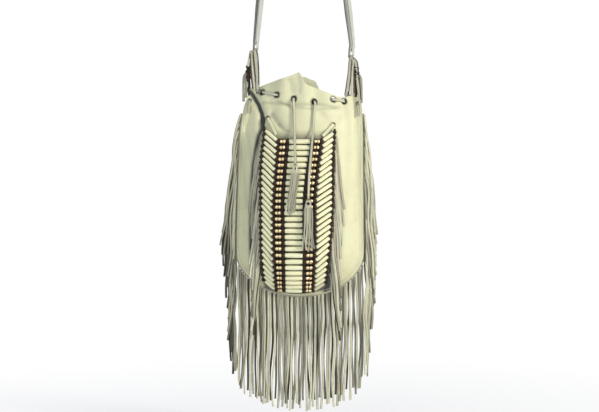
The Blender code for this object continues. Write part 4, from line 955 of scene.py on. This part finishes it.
def spacers(name):
    """The dark leather strips that the row cords pass through, one behind each string of beads, and dark
    sheets behind the brass as painted shade between its beads.
    """
    pile = Pile()
    for number, column in enumerate(COLUMN_X):
        alongs = np.linspace(-0.55 * ROW_APART, PLATE_LONG + 0.5 * ROW_APART, 4 * ROWS + 1)
        alongs = end_of_row(column, alongs)
        path = plate_point(column, alongs, PLATE_HIGH - 0.9)
        out = outward(-1, path[:, 0], plate_z(alongs))
        across = unit(np.cross(np.gradient(path, axis=0), out))
        bulge = 0.35 * np.cos(2 * math.pi * np.linspace(-0.55, ROWS - 0.5, 4 * ROWS + 1))
        sweep(pile, path, across, 3.3 + bulge, 2.4, ROUND_BAND, 0.5, number)
    # Dark sheets between the bead strings, behind the brass: painted shade in the gaps between the brass
    # beads.
    alongs = np.linspace(-0.5 * ROW_APART, PLATE_LONG + 0.4 * ROW_APART, 2 * ROWS)
    for number, (first, second) in enumerate((("left", "inner_left"), ("inner_right", "right"))):
        a, b = plate_point(first, alongs, 3.6), plate_point(second, alongs, 3.6)
        wide = np.linalg.norm(b - a, axis=1) - 1.0
        sweep(pile, (a + b) / 2, (b - a), wide, 1.0, FLAT_BAND, 0.5, number + 9)
    put(pile.made(name, DARK), "bag", "dark_thong")


spacers("spacers_and_painted_shade")


def brass(name, node, columns):
    pile = Pile()
    for row in range(ROWS):
        along = row * ROW_APART
        a, b = (plate_point(column, along) for column in columns)
        toward = unit(b - a)
        gap = float(np.linalg.norm(b - a))
        clear = BEAD_RADIUS + 0.1
        room = (gap - 2 * clear) / 2
        long = room - 0.24
        half = [(0.9, 0.32), (0.05, 0.42), (0.0, 0.55), (0.25, 0.78), (0.24 * long, 0.95), (0.5 * long, 1.0)]
        for number in (2 * row, 2 * row + 1):
            start = a + (clear + number % 2 * room + 0.12) * toward
            profile = mirrored(half, long, BRASS_RADIUS * (1 + 0.04 * wobble(number, 41.0)))
            tint = np.clip(0.3 + 0.4 * wobble(number, 42.0), 0, 1)
            turned(pile, start, start + long * toward, profile, ROUND_SIDES, tint, number)
    put(pile.made(name, BRASS, sharp=50), "bag", "brass", node)


brass("brass_beads_left", "brass_left", ("left", "inner_left"))
brass("brass_beads_right", "brass_right", ("inner_right", "right"))


def row_cords(name):
    """The cords through each row of tubes and beads."""
    pile = Pile()
    for row in range(ROWS):
        along = row * ROW_APART
        places = [plate_point("outer_left", end_of_row("outer_left", along), shift=-2.4)]
        places += [plate_point(column, end_of_row(column, along)) for column in COLUMN_X]
        places.append(plate_point("outer_right", end_of_row("outer_right", along), shift=2.4))
        sweep(pile, np.array(places), (0, 0, 1), 1.1, 1.1, FLAT_BAND, 0.5, row)
    put(pile.made(name, DARK), "bag", "dark_thong")


row_cords("row_cords")


def plate_fringe(name, right, node, count=20):
    pile = Pile()
    column = "outer_right" if right else "outer_left"
    turn = 1 if right else -1
    high = PLATE_HEADER_HIGHS[right]
    alongs = end_of_row(column, np.linspace(0, PLATE_LONG - 6, 60))
    path = plate_point(column, alongs, high + 0.7, turn * 2.7)
    out = outward(-1, path[:, 0], plate_z(alongs))
    across = unit(np.cross(np.gradient(path, axis=0), out))
    sweep(pile, path, across, PLATE_HEADER_WIDE, PLATE_HEADER_THICK, FLAT_BAND, 0.5)
    for k in range(count):
        middle = float(end_of_row(column, (k + 0.5) * (PLATE_LONG - 6) / count))
        long = PLATE_STRAND_LONG + 10 * wobble(k, 8.0 + right)
        down = np.concatenate([[0, 2.0, 5.0, 8.0], np.linspace(12, long, 20)])
        z = plate_z(middle) - np.maximum(down - 1.5, 0.3 * down)
        drift = PLATE_DRIFTS[right] + 0.05 * wobble(k, 51.0)
        edge = spline(COLUMN_X[column], np.maximum(z, -770.0))
        away = 3.9 + 2.2 * (1 - np.exp(-down / 5.0)) + drift * np.maximum(down - 2, 0)
        x = edge + turn * away + 1.1 * np.sin(z / 17.0 + 4 * wobble(k, 52.0)) * np.minimum(down / 40, 1)
        layer = k % 3
        lift = high + 0.7 + (1.0 + 1.5 * layer) * np.minimum(down / 7.0, 1.0)
        y = np.minimum.accumulate(over(x, np.maximum(z, -800.0), lift)[:, 1])
        settle = np.minimum(down / 7.0, 1.0)
        flat = 0.4 * wobble(k, 53.0) + 1.2 * wobble(k, 54.0) * (down / long) ** 1.5
        across = facing(flat, settle, turn)
        wide = PLATE_STRAND_WIDE + 0.5 * wobble(k, 55.0)
        # Painted shade on the inner layers, darker than the outer; a random tone and darker towards the tips
        # as well.
        sweep(pile, np.column_stack([x, y, z]), across, wide, PLATE_STRAND_THICK, STRAND,
              shaded_strand_edges(0.42 - 0.3 * layer + 0.5 * wobble(k, 56.0) + 0.2 * down / long), k + 300)
    return put(pile.made(name, SUEDE), "bag", "suede", node)


plate_fringe("plate_fringe_left", False, "breastplate_fringe_left")
plate_fringe("plate_fringe_right", True, "breastplate_fringe_right")


def plate_lace(name, hole, end, node):
    start, finish = np.array(hole), np.array(end)
    toward = unit(finish - start)
    path = [over(*hole, -1.6), over(*hole, 0.4)]
    for along in (2.6, 6.5, 14.0):
        x, z = start + along * toward
        path.append(over(x, z, 2.4))
    path.append(over(*finish, 4.2))
    pile = Pile()
    route = smooth_path(path, 1.5)
    sweep(pile, route, (toward[1], 0, -toward[0]), PLATE_LACE_WIDE, PLATE_LACE_THICK, ROUND_BAND,
          shaded_lace_edges(len(route), 0.0))
    put(pile.made(name, CREAM), "bag", "lace_leather", node)


for side, hole, end in zip(("left", "right"), PLATE_TIES_FROM, PLATE_TIES_TO):
    plate_lace("plate_lace_" + side, hole, end, "breastplate_tie_" + side)

pile = Pile()
path = smooth_path([over(x, z, 3.0) for x, z in BOTTOM_THONG], 3.0)
sweep(pile, path, (0, -0.6, 1), 2.4, 1.4, ROUND_BAND, 0.5)
put(pile.made("plate_bottom_thong", DARK), "bag", "dark_thong", "breastplate_bottom_thong")


# Strap, ties and drawstring
def axis_along():
    return unit((LIP_RIGHT[0] - LIP_LEFT[0], 0, LIP_RIGHT[1] - LIP_LEFT[1]))


DOWN = np.array([axis_along()[2], 0, -axis_along()[0]])


def strap():
    halves = []
    for lip, turn in ((LIP_LEFT, -1), (LIP_RIGHT, 1)):
        end = np.array([lip[0], 0, lip[1]])
        path = [end - along * DOWN for along in (-1.45, 3.0, 7.0, 14.5, 22.0)]
        top = np.array([turn * ARCH_RADIUS, 0, ARCH_LOW])
        for k in range(1, 11):
            share = k / 10
            bow = math.sin(math.pi * share) * turn * 3.0
            path.append(path[4] + share * (top - path[4]) + np.array([bow, 0, 0]))
        for k in range(1, 5):
            angle = k / 5 * math.pi / 2
            path.append(np.array([turn * ARCH_RADIUS * math.cos(angle), 0,
                                  ARCH_LOW + (1.5 - ARCH_LOW) * math.sin(angle)]))
        halves.append(path)
    path = smooth_path(halves[0] + [np.array([0, 0, 1.5])] + halves[1][::-1], 3.0)
    along = unit(np.gradient(path, axis=0))
    share = eased(-path[:, 2], -TWIST_TOP, -TWIST_LOW)
    inward = unit(np.cross(along, np.broadcast_to((0, 1.0, 0), path.shape)))
    turn = math.pi / 2 * share * np.where(path[:, 0] > 0, -1, 1)
    across = np.cos(turn)[:, None] * np.array([0, 1.0, 0]) + np.sin(turn)[:, None] * inward
    length = np.linspace(0, 1, len(path)) * len(path)
    wide = STRAP_WIDE + 0.35 * np.sin(length / 7.0) + 0.2 * np.sin(length / 3.1)
    ends = np.minimum(length, length[::-1])
    thick = STRAP_THICK * np.clip(0.45 + ends / 3.0 * 0.55, 0.45, 1.0)
    wide = wide * np.clip(0.70 + 0.013 * ends, 0.70, 1.0)
    section = ((-0.5, 0.0), (-0.49, -0.25), (-0.44, -0.45), (-0.2, -0.5), (-0.06, -0.44), (-0.02, -0.3),
               (0.03, -0.44), (0.2, -0.5), (0.44, -0.45), (0.49, -0.25), (0.5, 0.0), (0.49, 0.25),
               (0.44, 0.45), (0.24, 0.5), (0.2, 0.34), (0.16, 0.5), (-0.15, 0.5), (-0.44, 0.45),
               (-0.49, 0.25))
    # Painted shade in the strap's two grooves and along its edges.
    groove_and_edge_shade = [0.5, 0.35, 0.15, 0, 0.35, 0.95, 0.35, 0, 0.15, 0.35, 0.5, 0.35, 0.1, 0.2, 0.95, 0.2, 0, 0.15,
             0.35]
    pile = Pile()
    sweep(pile, path, across, wide, thick, section, 0.0)
    ring = pile.points[0].reshape(len(path), len(section), 3)
    # Painted shade on the strap's left half, fading in lower down.
    painted_shade_share = eased((path[:, None, 0] - ring[..., 0]) / STRAP_WIDE, 0.0, 0.25) * share[:, None]
    pile.tints[0] = np.clip(np.array(groove_and_edge_shade) + 0.7 * painted_shade_share, 0, 0.95).ravel()
    made = pile.made("strap_leather", STRAP_LOOK)
    cuts = Pile()
    for lip in (LIP_LEFT, LIP_RIGHT):
        start = np.array([lip[0], 0, lip[1]]) - 0.25 * DOWN
        middle = start - np.linspace(0, SLIT_LONG, 9)[:, None] * DOWN
        size = SLIT_WIDE * np.array([0.80, 0.80, 0.66, 0.52, 0.42, 0.36, 0.30, 0.2, 0.1])
        blind = np.array([0, 0, 0, 0.5, 1, 1, 1, 1, 1])
        middle[:, 1] = -2.8 * blind
        sweep(cuts, middle, axis_along(), size, 12.0 - 5.2 * blind,
              ((-0.5, -0.5), (0.5, -0.5), (0.5, 0.5), (-0.5, 0.5)), 0.95)
    slits = cuts.made("slits", STRAP_LOOK)
    change = made.modifiers.new("slits", "BOOLEAN")
    change.operation, change.solver, change.object = "DIFFERENCE", "EXACT", slits
    graph = bpy.context.evaluated_depsgraph_get()
    mesh = bpy.data.meshes.new_from_object(made.evaluated_get(graph))
    made.modifiers.clear()
    made.data = mesh
    bpy.data.objects.remove(slits)
    put(made, "strap", "strap_leather", "strap")


strap()


def knot(pile, centre, size, thick, tint, seed):
    """A thong tied in an overhand knot."""
    t = np.linspace(0, 2 * math.pi, 73)
    shape = np.column_stack([np.sin(t) + 2 * np.sin(2 * t), -np.sin(3 * t), np.cos(t) - 2 * np.cos(2 * t)])
    path = np.asarray(centre) + shape / np.array([3.0, 1.0, 3.0]) * (np.asarray(size) - thick) / 2
    sweep(pile, path, np.cross(np.gradient(path, axis=0), (0.3, 1.0, 0.2)), thick, thick * 0.8, ROUND_BAND,
          tint, seed)


# Loose strips at a tie: outwards at the start and end, how far they hang, width and darkness, which is
# painted shade; the thin near-black strips stand for the shadowed gaps between the wider ones
LEFT_STRIPS = ((5.6, 1.6, 62.0, 4.8, 0.05), (3.0, -1.0, 62.0, 1.9, 0.98), (0.2, -3.2, 61.0, 5.2, 0.15),
               (-2.8, -6.0, 54.0, 1.7, 0.98), (7.5, 10.5, 26.0, 4.0, 0.0), (9.0, 4.0, 60.0, 2.2, 0.98))
RIGHT_STRIPS = ((-0.5, -7.0, 60.0, 6.2, 0.35), (1.8, -3.2, 60.0, 2.2, 0.98), (3.8, 1.6, 60.0, 4.6, 0.0),
                (6.0, 5.0, 56.0, 2.6, 0.98), (6.6, 13.0, 74.0, 4.2, 0.1), (9.0, 15.2, 66.0, 1.6, 0.98))

# Dark thong knots on a tie, which also stand for the shade among the strips, from its middle: outwards,
# forwards, upwards and their size
KNOTS = ((0.0, 0.0, 0.0, (9.0, 7.4, 11.0)), (-0.6, -7.0, 6.5, (9.6, 6.4, 11.0)),
         (-0.4, -7.4, -0.5, (10.5, 6.6, 11.0)), (-0.2, -7.0, -9.5, (8.6, 6.2, 12.0)))
DARK_TAIL = ((-0.4, -6.4, -8.0), (-1.6, -6.0, -18.0), (0.2, -5.4, -27.0), (-1.2, -5.0, -36.0))


def tie(name, lip, ears, knot_at, turn, node):
    lip = np.array([lip[0], 0, lip[1]])
    round_lip = LIP_RADIUS + 0.4 + THONG_THICK / 2
    front_way = np.array([0, -1.0, 0])
    (x_in, z_in), (x_out, z_out) = ears
    path = [over(x_in, z_in - 17, 3.6, 1), over(x_in, z_in - 8, 3.6, 1), over(x_in, z_in - 2.4, 3.2, 1)]
    crossing = over(x_in, z_in, 0, 1)[1], over(x_in, z_in, 0, -1)[1]
    path += [np.array([x_in, crossing[0], z_in - 0.2]), np.array([x_in, crossing[1], z_in + 0.2])]
    path += [over(x_in, z_in + 2.6, 3.7, -1), over(x_in, z_in + 8, 4.6, -1)]
    start, end = path[-1], lip + round_lip * front_way + 7 * DOWN
    path += [start + share * (end - start) for share in (0.35, 0.7)]
    path += [end, lip + round_lip * front_way + 2 * DOWN]
    for angle in (0, 45, 90, 135, 180):
        turn_by = math.radians(angle)
        path.append(lip + round_lip * (math.cos(turn_by) * front_way - math.sin(turn_by) * DOWN))
    path += [lip - round_lip * front_way + 2 * DOWN, lip - round_lip * front_way + 7 * DOWN]
    knot_point = np.array([knot_at[0], KNOT_Y, knot_at[1]])
    path.append(knot_point + np.array([-0.4 * turn, 0.6, 6.0]))
    path.append(knot_point + np.array([0, 0.4, -5.0]))
    path += [np.array(p, float) for p in (
        (x_out, 6.4, z_out + 8), (x_out, 5.6, z_out + 2.6), (x_out, 2.6, z_out + 0.2), (x_out, 0, z_out),
        (x_out, -2.6, z_out - 0.2), (x_out, -5.6, z_out - 2.6), (x_out + turn, -6.6, z_out - 10),
        (x_out + 1.5 * turn, -6.6, z_out - 20))]
    pile = Pile()
    route = smooth_path(path, 1.3)
    sweep(pile, route, (1, 0, 0), THONG_WIDE + 0.9, THONG_THICK + 0.3, ROUND_BAND,
          shaded_lace_edges(len(route), 0.2))
    for number, (begins, ends, drop, wide, dark) in enumerate(LEFT_STRIPS if turn < 0 else RIGHT_STRIPS):
        near = -4.4 - 0.5 * number
        steps = [lip + np.array([0.3 * turn * begins, -4.3, -1.0])]
        for share in (0.12, 0.4, 0.7, 1.0):
            shift = begins + (ends - begins) * share + 0.7 * math.sin(4 * share + number)
            steps.append(lip + np.array([turn * shift, near - 1.2 * share, -drop * share]))
        steps = smooth_path(steps, 2.0)
        sweep(pile, steps, (1, 0.25 - 0.1 * number, 0), wide, 1.7, ROUND_BAND,
              shaded_lace_edges(len(steps), dark), number + 5)
    for number, (shift, long) in enumerate(((2.2, 40.0), (6.0, 46.0), (4.0, 34.0))):
        start = knot_point + np.array([turn * 1.4, -0.6 - 0.4 * number, 1.0])
        steps = [start, start + np.array([turn * shift * 0.55, -0.8, -4.0]),
                 start + np.array([turn * shift, -1.0, -12.0]),
                 start + np.array([turn * (shift + 0.6), 0.2, -long])]
        sweep(pile, smooth_path(steps, 1.5), (1, 0.3 * number, 0), THONG_WIDE + 0.6, 1.4, ROUND_BAND,
              0.1 + 0.35 * (number % 2), number)
    put(pile.made(name, LACE), "bag", "lace_leather", node)
    pile = Pile()
    for number, (shift, near, down, size) in enumerate(KNOTS):
        centre = knot_point + np.array([shift * turn, near, down])
        knot(pile, centre, size, 3.6, 0.6, number)
    steps = [knot_point + np.array([across * turn, near, down]) for across, near, down in DARK_TAIL]
    sweep(pile, smooth_path(steps, 2.0), (1, 0.3, 0), 3.6, 1.4, ROUND_BAND, 0.5)
    put(pile.made(name + "_knot", DARK), "bag", "dark_thong")


tie("ear_tie_left", LIP_LEFT, EARS_LEFT, KNOT_LEFT, -1, "strap_tie_left")
tie("ear_tie_right", LIP_RIGHT, EARS_RIGHT, KNOT_RIGHT, 1, "strap_tie_right")


def lace_run(side, start, end, outside):
    high = (3.2 if side > 0 else 3.3) * (1 if outside else -1)
    start, end = np.array(start), np.array(end)
    toward = unit(end - start)
    clear = np.linalg.norm(end - start) - 2 * LACE_HOLE
    spots = start + np.outer(LACE_HOLE + clear * np.linspace(0, 1, 5), toward)
    lift = high * np.array([0.72, 0.85, 0.9, 0.85, 0.72])
    return list(over(spots[:, 0], spots[:, 1], lift, side))


def between(start, end):
    return [start + share * (end - start) for share in (0.3, 0.5, 0.7)]


def drawstring():
    front, rear = FRONT_HOLES, BACK_HOLES
    hole = [over(x, z, 0, -1) for x, z in front]
    behind = [over(x, z, 0, 1) for x, z in rear]
    path = [over(*front[2], 2.2), hole[2]]
    path += lace_run(-1, front[2], front[1], False) + [hole[1]]
    path += lace_run(-1, front[1], front[0], True) + [hole[0]]
    path += between(hole[0], behind[0]) + [behind[0]]
    for k in range(5):
        path += lace_run(1, rear[k], rear[k + 1], k % 2 == 0) + [behind[k + 1]]
    path += between(behind[5], hole[5]) + [hole[5]]
    path += lace_run(-1, front[5], front[4], True) + [hole[4]]
    path += lace_run(-1, front[4], front[3], False) + [hole[3], over(*front[3], 2.2)]
    pile = Pile()
    route = smooth_path(path, 1.6)
    # Painted shade on the lace where it runs inside the bag, so the holes read dark.
    depth = route[:, 1] - mid(-1, route[:, 0], route[:, 2])[:, 1]
    inside = eased(depth, 0.2, 1.6).repeat(len(ROUND_BAND))
    tint = np.maximum(shaded_lace_edges(len(route), 0.0), 0.95 * inside)
    sweep(pile, route, (0, 0, 1), LACE_WIDE, LACE_THICK, ROUND_BAND, tint)
    put(pile.made("drawstring_lace", LACE), "bag", "lace_leather", "drawstring")


drawstring()


# Stage and light
def seen_share(tree):
    """1 for the rays that show a thing to the camera, in metal or through glass."""
    rays = tree.nodes.new("ShaderNodeLightPath")
    total = rays.outputs["Is Camera Ray"]
    for ray in ("Is Glossy Ray", "Is Transmission Ray"):
        either = tree.nodes.new("ShaderNodeMath")
        either.operation = "MAXIMUM"
        tree.links.new(total, either.inputs[0])
        tree.links.new(rays.outputs[ray], either.inputs[1])
        total = either.outputs[0]
    return total


def floor_look():
    """Pale matt floor that shows as white and keeps a soft shadow near the bag."""
    m = Nodes("pale_floor", (0.90, 0.90, 0.92), 0.85)
    away = m.node("ShaderNodeVectorMath", operation="LENGTH")
    m.link(m.place(), away.inputs[0])
    plain = m.span(away.outputs["Value"], 0.35, 1.1, 0.55, 1.0)
    white = m.node("ShaderNodeEmission")
    blend = m.node("ShaderNodeMixShader")
    m.link(m.maths("MULTIPLY", plain, seen_share(m.tree)), blend.inputs[0])
    m.link(m.shader.outputs[0], blend.inputs[1])
    m.link(white.outputs[0], blend.inputs[2])
    m.link(blend.outputs[0], m.tree.nodes["Material Output"].inputs["Surface"])
    return m.made


floor_mesh = bpy.data.meshes.new("floor")
corners = [(x * FLOOR_HALF, y * FLOOR_HALF, 0) for x, y in ((-1, -1), (1, -1), (1, 1), (-1, 1))]
floor_mesh.from_pydata(corners, [], [(0, 1, 2, 3)])
floor_mesh.materials.append(floor_look())
floor = bpy.data.objects.new("floor", floor_mesh)
floor.location = (0, 0, FLOOR_Z)
bpy.context.scene.collection.objects.link(floor)


def area_light(name, place, target, size, power, colour=(1, 1, 1)):
    data = bpy.data.lights.new(name, "AREA")
    data.shape, data.size, data.energy, data.color = "DISK", size, power, colour
    made = bpy.data.objects.new(name, data)
    made.location = place
    made.rotation_euler = (Vector(target) - Vector(place)).to_track_quat("-Z", "Y").to_euler()
    bpy.context.scene.collection.objects.link(made)


CENTRE = (0.0, 0.0, -0.7)
area_light("key", (1.9, -1.35, -0.05), CENTRE, 0.45, 34.5, (1.0, 0.965, 0.85))
area_light("fill", (-0.9, -2.4, -0.1), CENTRE, 1.6, 13.5, (0.93, 0.965, 1.0))
area_light("back_left", (-1.2, 1.8, 0.2), CENTRE, 1.2, 22.0)
area_light("back_right", (1.4, 1.6, -0.2), CENTRE, 1.2, 12.0)

world = bpy.data.worlds.new("studio")
world.use_nodes = True
bpy.context.scene.world = world
tree = world.node_tree
tree.nodes.clear()
seen = tree.nodes.new("ShaderNodeBackground")
seen.inputs["Color"].default_value = (1, 1, 1, 1)
lit = tree.nodes.new("ShaderNodeBackground")
lit.inputs["Color"].default_value = (0.82, 0.90, 1.0, 1)
lit.inputs["Strength"].default_value = 0.33
blend = tree.nodes.new("ShaderNodeMixShader")
out = tree.nodes.new("ShaderNodeOutputWorld")
tree.links.new(seen_share(tree), blend.inputs[0])
tree.links.new(lit.outputs[0], blend.inputs[1])
tree.links.new(seen.outputs[0], blend.inputs[2])
tree.links.new(blend.outputs[0], out.inputs[0])

scene = bpy.context.scene
scene.view_settings.view_transform = "Standard"
